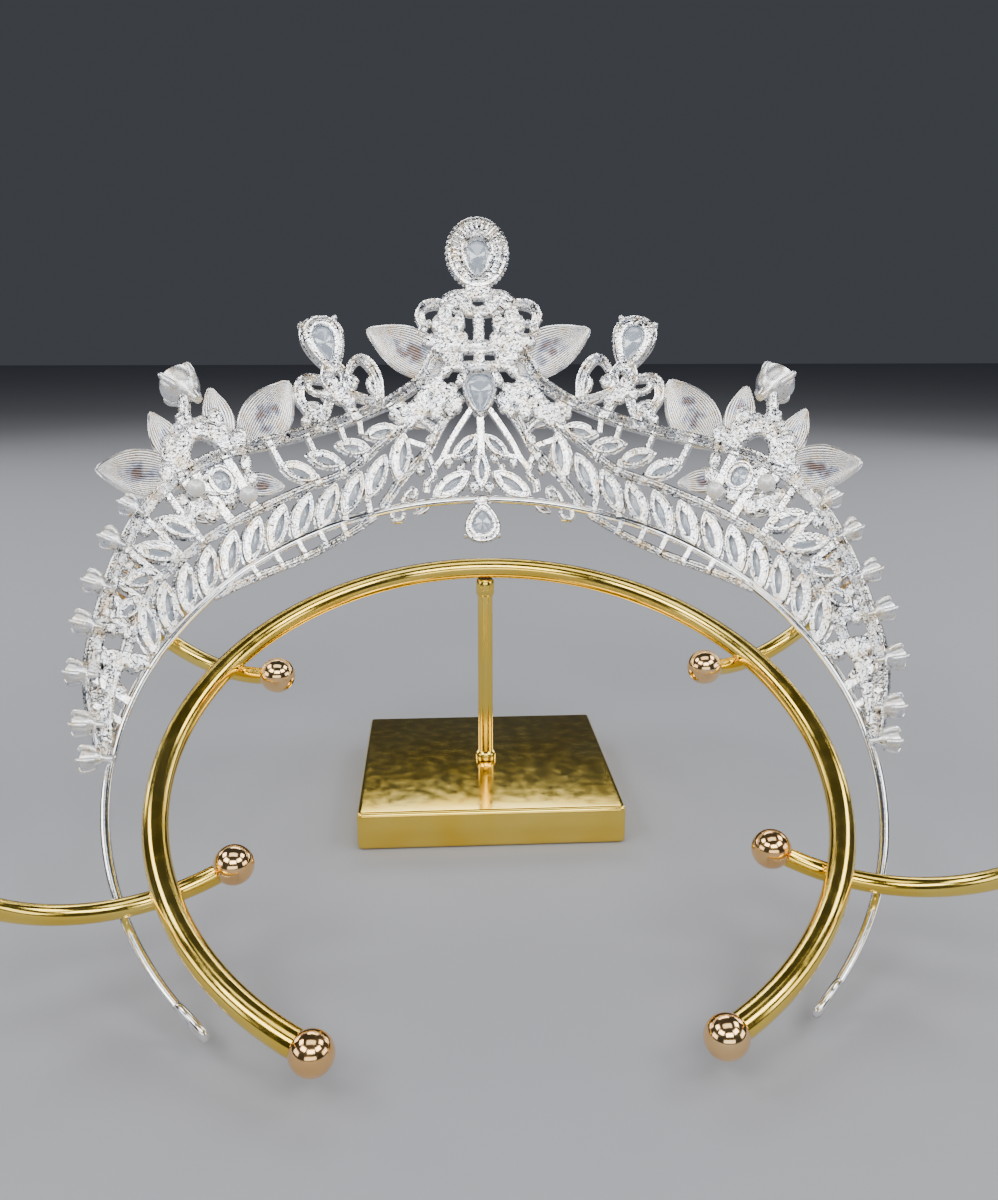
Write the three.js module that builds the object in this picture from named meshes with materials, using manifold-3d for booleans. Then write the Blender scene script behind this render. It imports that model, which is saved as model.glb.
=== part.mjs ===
// A crystal tiara resting on a plain gilt display stand
//
// Millimetres, +Z up, +Y the way the tiara's front faces, origin at the middle of the
// base plate's underside. The openwork stands on a cone that flares from the headband's
// circle, so every piece of it has a place of two numbers: phi, degrees round from the
// front, and w, millimetres up the slope from the headband.

import * as THREE from 'three';
import { mergeVertices } from 'three/addons/utils/BufferGeometryUtils.js';
import Module from 'manifold-3d';

const wasm = await Module();
wasm.setup();

// Clearance between pieces that are made separately
const GAP = 0.3;

// Headband circle, and how the tiara lies on the stand
const BAND_RADIUS = 75;
const BAND_TILT = 31.1;
const BAND_CENTRE = { y: -49.7, z: 32.5 };
const FLARE = 51;
const OPENWORK_END = 92;
const WIRE_END = 133;
const BAND = { tall: 2, thick: 1.5, steps: 32 };
const WIRE = { diameter: 2, sides: 6, steps: 8, lap: 4 };
const EYE = { length: 9, height: 4.6, wire: 1.7, lap: 0.4, sides: 5, steps: 12 };

// Cast metal of the openwork
const RAIL_THICK = 1.8;
const SCROLL_THICK = 1.4;
const STRUT_THICK = 1.1;
const CUP = { wall: 0.75, front: -1.2, back: 1.3, pointShare: 3.4, pearShare: { length: 2.4, width: 2.2 } };
const FUSED_STONE = { table: 0.5, tableLift: 0.8, backPoint: -0.1 };
const LEAF = { thick: 0.9, dish: 0.2, stations: [0, 0.3, 0.62, 1], half: [0.3, 0.95, 0.88, 0] };
const PRONG = { rise: 0.9, innerRise: 0.72, wall: 0.45, floor: 1 };

// Stones
const STONE = { table: 0.55, crown: 0.9, pavilion: 1.5 };
const ROUND_STONE = { seat: 0.63, crown: 0.36, pavilion: 0.75 };
const PEARL = { diameter: 4.2, lift: 0.5, sides: 10, rows: 5 };
const PEARL_PLATE = { diameter: 3.6, front: -0.8, back: 0.5, sides: 6 };

// Stand
const BASE = { side: 60, height: 8.9, round: 1.6 };
const POST = {
  radius: 1.8, footRadius: 2.5, footHeight: 1.6, shoulder: 0.5, collarRadius: 2.15, collarHeight: 3.6,
  topGap: 0.39, sides: 12,
};
const RING = {
  radius: 63.9, tube: 4.75, tilt: 24.6, gap: 30.5, centre: { y: -58.1, z: 30.6 }, sides: 8, steps: 30,
};
const ARM = { tube: 3.5, bow: 34, below: 3.3, inside: 10.6, outside: 29, sides: 6, steps: 8 };
const ARMS = [
  { name: 'upper', angle: 59.6, lowest: 5.5 },
  { name: 'lower', angle: 112.2, lowest: 0 },
];
const BALL = { diameter: 7.2, socket: 1.4, sides: 10, steps: 3 };

const silver = { color: 0xe9e9ec, roughness: 0.22, metalness: 1 };
const crystal = { color: 0xd4dfea, roughness: 0.05, metalness: 0.1 };
const pearl = { color: 0xf6f3ee, roughness: 0.3, metalness: 0 };
const gilt = { color: 0xd9b04c, roughness: 0.12, metalness: 1 };
const gildedBall = { color: 0xd8a268, roughness: 0.12, metalness: 1 };

const radians = THREE.MathUtils.degToRad;
const vector = (x, y, z) => new THREE.Vector3(x, y, z);

// Curved metal of one half, mirrored for the other; phi and w are columns of points
const RAILS = [
  { name: 'upper rail', width: 2.2, steps: 14,
    phi: [6.8, 8.6, 11, 14, 20, 26, 38, 46, 54, 61, 70, 80, 91.5],
    w: [35.5, 31, 28.4, 26.2, 24, 23.4, 25.2, 25.8, 23.6, 19.6, 14.2, 9, 1] },
  { name: 'middle rail', width: 1.8, steps: 10,
    phi: [12.4, 14.5, 17.5, 21, 25, 32, 45, 58, 66, 74],
    w: [20, 18, 15.4, 12.6, 11, 10.6, 10.6, 10.4, 8.6, 5.4] },
  { name: 'cross rail', width: 1.7, steps: 6,
    phi: [2.8, 5, 7, 8.6, 11, 14.5, 18.8],
    w: [25.5, 22, 17.5, 13.6, 10.4, 6.4, 1] },
  { name: 'inner strut', width: 1, steps: 3,
    phi: [1.4, 3.2, 5.2, 6.6, 8.2], w: [23, 19, 14.6, 11, 8.4] },
  { name: 'lower ladder', width: 1.3, steps: 5,
    phi: [20.5, 26, 32, 38, 44, 50, 55], w: [-0.6, -2.8, -4, -4.1, -3.1, -1.6, -0.4] },
  { name: 'centre branch', width: 2.6, steps: 3,
    phi: [6, 8, 9.6, 11, 12.6], w: [29.5, 27.6, 25, 22, 19.2] },
  { name: 'branch post', width: 1.5, steps: 2, phi: [12.4, 12.8, 13.8], w: [19.6, 22.5, 25.8] },
  { name: 'side web', width: 2.4, steps: 2, phi: [72.5, 74.5, 76.5], w: [0.5, 6, 10.5] },
];

const SCROLLS = [
  { name: 'inner crook', width: 1.6, steps: 7,
    phi: [19.6, 18.4, 17.4, 16.3, 15.4, 14.8, 14.6, 15], w: [34.6, 35.6, 37.6, 38.2, 36.7, 34.2, 31.4, 26.4] },
  { name: 'outer crook', width: 1.6, steps: 6,
    phi: [20.8, 22.2, 23.4, 24.6, 25.6, 26.1, 25.6, 25.4], w: [34.2, 34.8, 35.7, 36, 34.4, 31.6, 29.2, 26.4] },
  { name: 'pear stem inner', width: 1.6, steps: 3,
    phi: [19.8, 19, 19.6, 19.2, 17.7, 16.3, 14.8], w: [38, 34.8, 32.2, 30.4, 28.6, 27.5, 26.6] },
  { name: 'pear stem outer', width: 1.6, steps: 3,
    phi: [21, 21.8, 21.4, 22, 22.9, 23.9, 24.9], w: [38, 34.8, 32.4, 29.8, 27.4, 25.2, 22.9] },
  { name: 'pear post', width: 3, steps: 2, phi: [20.4, 20.5, 19.9, 19], w: [32.6, 30, 27.4, 23.6] },
  { name: 'crown crook', width: 1.7, steps: 6,
    phi: [1.6, 2.8, 4, 5.4, 6.8, 7.5, 7.5, 7, 7.8], w: [50.4, 50.2, 49.8, 50.2, 49.7, 48, 46, 44.6, 42.4] },
  { name: 'crown loop', width: 1.6, steps: 4,
    phi: [1, 2.2, 3.7, 3.8, 2.9, 1.8], w: [47.6, 46.6, 48.2, 50.6, 52.4, 53.4] },
  { name: 'base curl', width: 1.4, steps: 3, phi: [9.6, 9.2, 8.6, 9.2], w: [2, 5.4, 8.2, 13] },
  { name: 'hanging hook', width: 1.4, steps: 3, phi: [17.2, 17.6, 16.8, 15.2], w: [-0.5, -2.4, -3, -2.4] },
];

// Short straight struts, each from A to B
const STRUTS = [
  { phiA: 21.7, wA: 18.3, phiB: 21.8, wB: 23, width: 1 },
  { phiA: 21, wA: 4.6, phiB: 21.3, wB: 0.4, width: 1.2 },
  { phiA: 25.8, wA: 2.3, phiB: 26.2, wB: 0.4, width: 1.2 },
  { phiA: 26.9, wA: 17.2, phiB: 27.1, wB: 23, width: 1 },
  { phiA: 32.6, wA: 17.2, phiB: 32.8, wB: 24.2, width: 1.2 },
  { phiA: 23.5, wA: 14.2, phiB: 23.5, wB: 11.4, width: 1.4 },
  { phiA: 28.3, wA: 12.8, phiB: 28.2, wB: 10.8, width: 1.4 },
  { phiA: 39.8, wA: 11, phiB: 39.6, wB: 25, width: 2 },
  { phiA: 46.7, wA: 25, phiB: 47, wB: 17.5, width: 2 },
  { phiA: 12.4, wA: 19.9, phiB: 13.7, wB: 19.5, width: 1.2 },
  { phiA: 44.4, wA: 11, phiB: 44.8, wB: 25, width: 2 },
  { phiA: 50.4, wA: 10.8, phiB: 50, wB: 24.4, width: 1.4 },
  { phiA: 59.6, wA: 10.2, phiB: 60.2, wB: 19.8, width: 1.4 },
  { phiA: 69.8, wA: 7.4, phiB: 69.8, wB: 14, width: 1.4 },
  { phiA: 80.6, wA: 0.4, phiB: 80, wB: 8.6, width: 1.8 },
];
const LADDER_RUNGS = { phi: [27, 31.5, 36, 41, 46], reach: [-3, -3.9, -4.1, -3.7, -2.7], width: 0.9 };
const CENTRE_BARS = [
  { name: 'fern stem', phiA: 0, wA: 11.5, phiB: 0, wB: 21.5, width: 1.6 },
  { name: 'crown stem', phiA: 0, wA: 33, phiB: 0, wB: 48.6, width: 2.4 },
  { name: 'drop neck', phiA: 0, wA: 51.4, phiB: 0, wB: 56.4, width: 6.4 },
  { name: 'crown top bar', phiA: -3, wA: 52.2, phiB: 3, wB: 52.2, width: 2 },
  { name: 'leaf root bar', phiA: -5, wA: 39, phiB: 5, wB: 39, width: 3 },
  { name: 'rail root bar', phiA: -4.4, wA: 34.2, phiB: 4.4, wB: 34.2, width: 2.2 },
  { name: 'gallery knob', phiA: 0, wA: 0.4, phiB: 0, wB: 3.2, width: 3.2 },
  { name: 'bottom drop root', phiA: 0, wA: -1, phiB: 0, wB: 0.6, width: 4.4 },
];

// Marquise cups of one half; turn leans the long axis from upright towards the centre
const MARQUISE_SIDES = 6;
const LOWER_ROW = { count: 12, firstPhi: 13.6, stepPhi: 4.93, w: 4.9, length: 12.4, width: 4.5 };
const LOWER_ROW_CLIMB = [12.3, 8.6, 6];
const LOWER_ROW_TURNS = [19, 38, 41, 43.5, 45, 46.5, 47.5, 48, 47.5, 46, 45, 44];
const UPPER_ROW = [
  { phi: 15.9, w: 19.3, turn: 86, length: 8.2, width: 3.6, loose: true },
  { phi: 20.8, w: 17, turn: -70, length: 8.2, width: 3.6, loose: true },
  { phi: 25.8, w: 15.8, turn: -58, length: 8.6, width: 3.9, loose: true },
  { phi: 30.5, w: 15, turn: -50, length: 9.2, width: 4.3, loose: true },
  { phi: 51.9, w: 16.4, turn: -34, length: 9.4, width: 4.4, loose: false },
  { phi: 57, w: 14.9, turn: -46, length: 10.8, width: 4.4, loose: false },
  { phi: 62, w: 13, turn: -66, length: 8, width: 3.6, loose: false },
  { phi: 67.2, w: 10.8, turn: -80, length: 7.4, width: 3.2, loose: false },
];
const CENTRE_MARQUISES = [
  { name: 'small_marquise', phi: 2.5, w: 13.5, turn: 48, length: 8.4, width: 3.6 },
  { name: 'wide_marquise', phi: 5.4, w: 4, turn: 58, length: 11, width: 5.2 },
];
const CENTRE_UPRIGHT = { phi: 0, w: 7.4, turn: 0, length: 9.4, width: 4 };

// Pear and oval stones with cups of their own; deep is a share of the plain stone's depth
const PEAR_SIDES = 10;
const PEAR = { phi: 20.4, w: 43.6, turn: -1, length: 15, width: 10.3, deep: 1.6 };
const CENTRE_STONE = { phi: 0, w: 27.2, turn: 0, length: 13.4, width: 8.4, deep: 1.5 };
const BOTTOM_DROP = { phi: 0, w: -5.6, turn: 180, length: 10.2, width: 8.4, deep: 1.4 };
const TOP_DROP = { phi: 0, w: 63.3, length: 12.6, width: 8.4, deep: 1.8, sides: 12 };
const HALO = { length: 18.8, width: 15.8, half: 0.9, cupBack: 1.2, cupFront: -1.6 };
const OVAL = { phi: 42, w: 20.2, turn: 6, length: 7.8, width: 6.8, wall: 0.8, sides: 8 };
const PEARLS = [
  { name: 'lower', phi: 40.2, w: 14.2 },
  { name: 'upper', phi: 46.6, w: 21.2 },
];

// Prong cups on stems: lean turns the cup's axis from the slope towards the front
const ROUND_SIDES = 8;
const SIDE_CUPS = [
  { phi: 54.8, w: 25 },
  { phi: 60.2, w: 22 },
  { phi: 66.6, w: 18 },
  { phi: 72.6, w: 14.6 },
  { phi: 79.8, w: 10.6 },
  { phi: 86.8, w: 5.6 },
  { phi: 91.8, w: 2.4 },
];
const SIDE_CUP = { radius: 2.3, depth: 2.6, stem: 2.6, lean: 36 };
const GREAT_CUP = { phi: 39.6, w: 42.2, radius: 4.6, depth: 4.4, stem: 3.2, lean: 42 };

// Leaves, hollow at the back: base, tip, and full width
const LEAVES = [
  { phiA: 4.4, wA: 33.4, phiB: 14.6, wB: 45.4, width: 11.8 },
  { phiA: 2.7, wA: 35.8, phiB: 3.7, wB: 51, width: 7.4 },
  { phiA: 35.8, wA: 24.8, phiB: 26.6, wB: 36.6, width: 11.4 },
  { phiA: 38.4, wA: 28, phiB: 36.6, wB: 41, width: 7 },
  { phiA: 45.6, wA: 28, phiB: 44.9, wB: 41.4, width: 7 },
  { phiA: 46.6, wA: 25.6, phiB: 55.2, wB: 36.7, width: 11.2 },
  { phiA: 39.6, wA: 18, phiB: 33.6, wB: 13, width: 5.6 },
  { phiA: 44.6, wA: 14, phiB: 49.8, wB: 19, width: 5.6 },
  { phiA: 11.5, wA: 21.8, phiB: 7.2, wB: 19, width: 3 },
];
const FLOWER_ARCH = {
  width: 4.2, thick: 2.4, steps: 6,
  phi: [38.6, 38.9, 39.6, 41.2, 43.2, 44.9, 45.6], w: [25.6, 28.4, 31.2, 33.2, 32.4, 29.6, 26.2],
};
const GREAT_STEM = { width: 2.8, thick: 2, steps: 2, phi: [42, 41.5, 40.6, 39.7], w: [33.4, 36.6, 39.6, 42.4] };

// Geometry

function conePoint(phi, w, lift = 0) {
  const angle = radians(phi);
  const flare = radians(FLARE);
  const radius = BAND_RADIUS + w * Math.sin(flare) - lift * Math.cos(flare);
  const height = w * Math.cos(flare) + lift * Math.sin(flare);
  return vector(radius * Math.sin(angle), radius * Math.cos(angle), height);
}

function seat(phi, w, turn = 0) {
  const angle = radians(phi);
  const flare = radians(FLARE);
  const across = vector(Math.cos(angle), -Math.sin(angle), 0);
  const outward = vector(Math.sin(angle), Math.cos(angle), 0);
  const up = outward.clone().multiplyScalar(Math.sin(flare)).setZ(Math.cos(flare));
  const inward = across.clone().cross(up);
  return new THREE.Matrix4()
    .makeBasis(across, up, inward)
    .setPosition(conePoint(phi, w))
    .multiply(new THREE.Matrix4().makeRotationZ(radians(turn)));
}

function volumeOf(points, faces) {
  const parts = faces.map(([a, b, c]) => points[a].dot(points[b].clone().cross(points[c])));
  return parts.reduce((sum, part) => sum + part, 0) / 6;
}

// A skin through rings of points, with a flat cap or a single point at each end
function loft(rings, closed = false) {
  const points = rings.flat();
  const starts = rings.map((ring, i) => rings.slice(0, i).reduce((sum, r) => sum + r.length, 0));
  const faces = [];
  const spans = closed ? rings.length : rings.length - 1;
  for (let i = 0; i < spans; i += 1) {
    const j = (i + 1) % rings.length;
    const [a, b] = [rings[i].length, rings[j].length];
    for (let k = 0; k < Math.max(a, b); k += 1) {
      const [a0, a1] = [starts[i] + (k % a), starts[i] + ((k + 1) % a)];
      const [b0, b1] = [starts[j] + (k % b), starts[j] + ((k + 1) % b)];
      if (a > 1) faces.push([a0, a1, b0]);
      if (b > 1) faces.push([a1, b1, b0]);
    }
  }
  if (!closed) {
    const last = starts[rings.length - 1];
    for (let k = 1; k < rings[0].length - 1; k += 1) faces.push([0, k + 1, k]);
    for (let k = 1; k < rings.at(-1).length - 1; k += 1) faces.push([last, last + k, last + k + 1]);
  }
  const outward = volumeOf(points, faces) < 0 ? faces.map(([a, b, c]) => [a, c, b]) : faces;
  return new THREE.BufferGeometry().setFromPoints(points).setIndex(outward.flat());
}

function toSolid(geometry) {
  const bare = geometry.clone();
  bare.deleteAttribute('normal');
  bare.deleteAttribute('uv');
  const merged = mergeVertices(bare, 1e-4);
  const vertProperties = Float32Array.from(merged.attributes.position.array);
  const triVerts = Uint32Array.from(merged.index.array);
  return new wasm.Manifold(new wasm.Mesh({ numProp: 3, vertProperties, triVerts }));
}

function toGeometry(solid) {
  const { numProp, vertProperties, triVerts } = solid.getMesh();
  const positions = [];
  for (let i = 0; i < vertProperties.length; i += numProp) {
    positions.push(...vertProperties.slice(i, i + 3));
  }
  const geometry = new THREE.BufferGeometry();
  geometry.setAttribute('position', new THREE.Float32BufferAttribute(positions, 3));
  geometry.setIndex(Array.from(triVerts));
  return geometry;
}

function join(geometries) {
  if (geometries.length === 1) return toSolid(geometries[0]);
  const half = Math.ceil(geometries.length / 2);
  return join(geometries.slice(0, half)).add(join(geometries.slice(half)));
}

// Outlines, in the plane of the openwork

function marquise(length, width) {
  return (angle) => {
    const across = Math.cos(angle);
    return [(width / 2) * across * Math.abs(across) ** 0.5, (length / 2) * Math.sin(angle)];
  };
}

function pear(length, width) {
  return (angle) => {
    const up = Math.sin(angle);
    return [(width / 2) * Math.cos(angle) * (1 + 0.38 * up), (length / 2) * up];
  };
}

function oval(length, width) {
  return (angle) => [(width / 2) * Math.cos(angle), (length / 2) * Math.sin(angle)];
}

// The first point is set so that one falls on each tip, whatever the number of sides
function outlineRing(shape, scale, z, sides) {
  const first = sides % 4 === 0 ? 0 : 0.5;
  return Array.from({ length: sides }, (_, k) => {
    const [x, y] = shape((2 * Math.PI * (k + first)) / sides);
    return vector(x * scale, y * scale, z);
  });
}

// Metal pieces

// Points at even steps along a curve, taken on the cone unrolled at the band
function sampleCurve({ phi, w, steps }) {
  const millimetresPerDegree = radians(BAND_RADIUS);
  const points = phi.map((angle, i) => vector(angle * millimetresPerDegree, w[i], 0));
  const curve = new THREE.CatmullRomCurve3(points, false, 'centripetal');
  return curve.getSpacedPoints(steps).map((p) => ({ phi: p.x / millimetresPerDegree, w: p.y }));
}

function ribbon(samples, width, thick) {
  const centres = samples.map(({ phi, w }) => conePoint(phi, w));
  const rings = samples.map(({ phi, w }, i) => {
    const before = centres[Math.max(i - 1, 0)];
    const after = centres[Math.min(i + 1, centres.length - 1)];
    const along = after.clone().sub(before).normalize();
    const inward = conePoint(phi, w, 1).sub(conePoint(phi, w));
    const side = inward.clone().cross(along).normalize();
    const corner = (u, v) => centres[i].clone()
      .addScaledVector(side, (u * width) / 2)
      .addScaledVector(inward, (v * thick) / 2);
    return [corner(-1, -1), corner(1, -1), corner(1, 1), corner(-1, 1)];
  });
  return loft(rings);
}

function curvedPiece(row, side, thick) {
  const mirrored = { ...row, phi: row.phi.map((angle) => angle * side) };
  return ribbon(sampleCurve(mirrored), row.width, thick);
}

function strut({ phiA, wA, phiB, wB, width }, side) {
  return ribbon([{ phi: phiA * side, w: wA }, { phi: phiB * side, w: wB }], width, STRUT_THICK);
}

function openCup(shape, inner, place, sides) {
  const rings = [
    outlineRing(shape, 1, CUP.front, sides),
    outlineRing(shape, 1, CUP.back, sides),
    outlineRing(inner, 1, CUP.back, sides),
    outlineRing(inner, 1, CUP.front, sides),
  ];
  return loft(rings, true).applyMatrix4(place);
}

function fusedCup(row, side) {
  const place = seat(row.phi * side, row.w, row.turn * side);
  const outer = marquise(row.length, row.width);
  const rings = [
    outlineRing(outer, FUSED_STONE.table, CUP.front - FUSED_STONE.tableLift, MARQUISE_SIDES),
    outlineRing(outer, 1, CUP.front, MARQUISE_SIDES),
    outlineRing(outer, 1, CUP.back, MARQUISE_SIDES),
    [vector(0, 0, FUSED_STONE.backPoint)],
  ];
  return loft(rings).applyMatrix4(place);
}

// A hollow-backed leaf whose middle bows to the front
function leaf({ phiA, wA, phiB, wB, width }, side) {
  const base = conePoint(phiA * side, wA);
  const tip = conePoint(phiB * side, wB);
  const inward = conePoint(phiA * side, wA, 1).sub(base);
  const along = tip.clone().sub(base);
  const across = inward.clone().cross(along).normalize();
  const dish = width * LEAF.dish;
  const rings = LEAF.stations.map((station, i) => {
    const half = (width / 2) * LEAF.half[i];
    const middle = base.clone().addScaledVector(along, station);
    if (half === 0) return [middle];
    const at = (u, depth) => middle.clone()
      .addScaledVector(across, u * half)
      .addScaledVector(inward, depth);
    const bow = -dish * LEAF.half[i];
    return [at(-1, LEAF.thick / 2), at(0, bow), at(1, LEAF.thick / 2), at(0, bow + LEAF.thick)];
  });
  return loft(rings);
}

// The frame in which a prong cup is made: its axis runs along +Z from the stem's foot
function cupPlace(phi, w, lean) {
  const toSlope = new THREE.Matrix4().makeRotationX(-Math.PI / 2);
  const toFront = new THREE.Matrix4().makeRotationX(-radians(lean));
  return seat(phi, w).multiply(toFront).multiply(toSlope);
}

// A cup whose rim rises into four prongs
function prongCup({ radius, depth, stem }, place) {
  const rim = (reach, up) => Array.from({ length: ROUND_SIDES }, (_, k) => {
    const angle = (2 * Math.PI * (k + 0.5)) / ROUND_SIDES;
    const isProng = k % 2 === 0;
    return vector(reach * Math.cos(angle), reach * Math.sin(angle), depth + (isProng ? up : -up / 2));
  });
  const rings = [
    [vector(0, 0, -stem)],
    rim(radius, PRONG.rise),
    rim(radius - PRONG.wall, PRONG.innerRise),
    [vector(0, 0, PRONG.floor)],
  ];
  return loft(rings).applyMatrix4(place);
}

// Headband

function bandSweep() {
  const step = (2 * OPENWORK_END) / BAND.steps;
  const samples = Array.from({ length: BAND.steps + 1 }, (_, i) => ({ phi: -OPENWORK_END + i * step, w: 0 }));
  return ribbon(samples, BAND.tall, BAND.thick);
}

function wireRing(centre, along, radius, sides) {
  const across = vector(0, 0, 1).cross(along).normalize();
  const up = along.clone().cross(across).normalize();
  return Array.from({ length: sides }, (_, k) => {
    const angle = (2 * Math.PI * k) / sides;
    return centre.clone()
      .addScaledVector(across, radius * Math.cos(angle))
      .addScaledVector(up, radius * Math.sin(angle));
  });
}

function tailWire(side) {
  const start = OPENWORK_END - WIRE.lap;
  const rings = Array.from({ length: WIRE.steps + 1 }, (_, i) => {
    const phi = side * (start + ((WIRE_END - start) * i) / WIRE.steps);
    const along = vector(Math.cos(radians(phi)), -Math.sin(radians(phi)), 0);
    return wireRing(conePoint(phi, 0), along, WIRE.diameter / 2, WIRE.sides);
  });
  return loft(rings);
}

// The wire's end folded back on itself into a narrow upright eye
function endEye(side) {
  const wire = EYE.wire / 2;
  const phi = radians(side * WIRE_END);
  const along = vector(Math.cos(phi), -Math.sin(phi), 0).multiplyScalar(side);
  const outward = vector(Math.sin(phi), Math.cos(phi), 0);
  const middle = conePoint(side * WIRE_END, 0).addScaledVector(along, EYE.length / 2 - EYE.lap);
  const reach = EYE.length / 2 - wire;
  const rise = EYE.height / 2 - wire;
  const rings = Array.from({ length: EYE.steps }, (_, i) => {
    const angle = (2 * Math.PI * i) / EYE.steps;
    const point = middle.clone()
      .addScaledVector(along, reach * Math.cos(angle))
      .setZ(rise * Math.sin(angle));
    const spoke = along.clone().multiplyScalar(Math.cos(angle)).setZ(Math.sin(angle)).normalize();
    return Array.from({ length: EYE.sides }, (__, k) => {
      const turn = (2 * Math.PI * k) / EYE.sides;
      return point.clone()
        .addScaledVector(spoke, wire * Math.cos(turn))
        .addScaledVector(outward, wire * Math.sin(turn));
    });
  });
  return loft(rings, true);
}

// Stones

function stoneGeometry(shape, sides, place, deep = 1) {
  const rings = [
    outlineRing(shape, STONE.table, -STONE.crown * deep, sides),
    outlineRing(shape, 1, 0, sides),
    [vector(0, 0, STONE.pavilion * deep)],
  ];
  return loft(rings).applyMatrix4(place);
}

function roundStone(cup, place) {
  const radius = cup.radius - PRONG.wall - GAP;
  const girdle = cup.depth + ROUND_STONE.seat;
  const shape = (angle) => oval(2 * radius, 2 * radius)(angle + Math.PI / ROUND_SIDES);
  const rings = [
    [vector(0, 0, girdle - radius * ROUND_STONE.pavilion)],
    outlineRing(shape, 1, girdle, ROUND_SIDES),
    outlineRing(shape, STONE.table, girdle + radius * ROUND_STONE.crown, ROUND_SIDES),
  ];
  return loft(rings).applyMatrix4(place);
}

const stones = [];

function addStone(name, geometry, look = crystal) {
  const mesh = new THREE.Mesh(geometry, new THREE.MeshStandardMaterial(look));
  mesh.name = name;
  stones.push(mesh);
}

const sideName = (side) => (side < 0 ? 'left' : 'right');

function openMarquise(name, row, side) {
  const place = seat(row.phi * side, row.w, row.turn * side);
  const outer = marquise(row.length, row.width);
  const shrink = (by) => marquise(row.length - CUP.pointShare * by, row.width - 2 * by);
  addStone(name, stoneGeometry(shrink(CUP.wall + GAP), MARQUISE_SIDES, place));
  return openCup(outer, shrink(CUP.wall), place, MARQUISE_SIDES);
}

function openPear(name, row, side) {
  const place = seat(row.phi * side, row.w, row.turn * side);
  const { length, width } = CUP.pearShare;
  const shrink = (by) => pear(row.length - length * by, row.width - width * by);
  addStone(name, stoneGeometry(shrink(2 * CUP.wall + GAP), PEAR_SIDES, place, row.deep));
  return openCup(pear(row.length, row.width), shrink(2 * CUP.wall), place, PEAR_SIDES);
}

function openOval(name, row, side) {
  const place = seat(row.phi * side, row.w, row.turn * side);
  const shrink = (by) => oval(row.length - 2 * by, row.width - 2 * by);
  addStone(name, stoneGeometry(shrink(row.wall + GAP), row.sides, place));
  return openCup(oval(row.length, row.width), shrink(row.wall), place, row.sides);
}

// A pearl glued on a small round plate
function platedPearl(name, row, side) {
  const place = seat(row.phi * side, row.w);
  const lift = new THREE.Matrix4().makeTranslation(0, 0, PEARL.diameter / 2 + GAP + PEARL.lift);
  const bead = new THREE.SphereGeometry(PEARL.diameter / 2, PEARL.sides, PEARL.rows);
  addStone(name, bead.applyMatrix4(lift).applyMatrix4(place), pearl);
  const round = oval(PEARL_PLATE.diameter, PEARL_PLATE.diameter);
  const faces = [PEARL_PLATE.front, PEARL_PLATE.back];
  return loft(faces.map((z) => outlineRing(round, 1, z, PEARL_PLATE.sides))).applyMatrix4(place);
}

// The top drop: a wide flat halo round a deeper pear cup
function haloDrop() {
  const place = seat(TOP_DROP.phi, TOP_DROP.w);
  const outer = oval(HALO.length, HALO.width);
  const inner = pear(TOP_DROP.length, TOP_DROP.width);
  const rings = [
    outlineRing(outer, 1, -HALO.half, TOP_DROP.sides),
    outlineRing(outer, 1, HALO.half, TOP_DROP.sides),
    outlineRing(inner, 1, HALO.cupBack, TOP_DROP.sides),
    outlineRing(inner, 1, HALO.cupFront, TOP_DROP.sides),
  ];
  const stone = pear(TOP_DROP.length - 2 * GAP, TOP_DROP.width - CUP.pearShare.width * GAP);
  addStone('top_stone', stoneGeometry(stone, TOP_DROP.sides, place, TOP_DROP.deep));
  return loft(rings, true).applyMatrix4(place);
}

// The openwork of one half

function ladder(side) {
  return LADDER_RUNGS.phi.map((phi, i) => strut({
    phiA: phi, wA: 0, phiB: phi, wB: LADDER_RUNGS.reach[i], width: LADDER_RUNGS.width,
  }, side));
}

function curvedMetal(side) {
  return [
    ...RAILS.map((row) => curvedPiece(row, side, RAIL_THICK)),
    ...SCROLLS.map((row) => curvedPiece(row, side, SCROLL_THICK)),
    ...STRUTS.map((row) => strut(row, side)),
    ...ladder(side),
    curvedPiece(FLOWER_ARCH, side, FLOWER_ARCH.thick),
    curvedPiece(GREAT_STEM, side, GREAT_STEM.thick),
    ...LEAVES.map((row) => leaf(row, side)),
  ];
}

// The row of marquises along the headband: the first few climb to the centre branch
function lowerRow(side) {
  return Array.from({ length: LOWER_ROW.count }, (_, i) => {
    const phi = LOWER_ROW.firstPhi + LOWER_ROW.stepPhi * i;
    const w = LOWER_ROW_CLIMB[i] ?? LOWER_ROW.w;
    return fusedCup({ ...LOWER_ROW, phi, w, turn: LOWER_ROW_TURNS[i] }, side);
  });
}

function upperRow(side) {
  return UPPER_ROW.map((row, i) => (
    row.loose ? openMarquise(`rail_marquise_${sideName(side)}_${i + 1}`, row, side) : fusedCup(row, side)
  ));
}

function prongRow(side) {
  const label = sideName(side);
  const cups = SIDE_CUPS.map((row, i) => ({ ...SIDE_CUP, ...row, name: `side_stone_${label}_${i + 1}` }));
  cups.push({ ...GREAT_CUP, name: `great_stone_${label}` });
  return cups.map((cup) => {
    const place = cupPlace(cup.phi * side, cup.w, cup.lean);
    addStone(cup.name, roundStone(cup, place));
    return prongCup(cup, place);
  });
}

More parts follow.
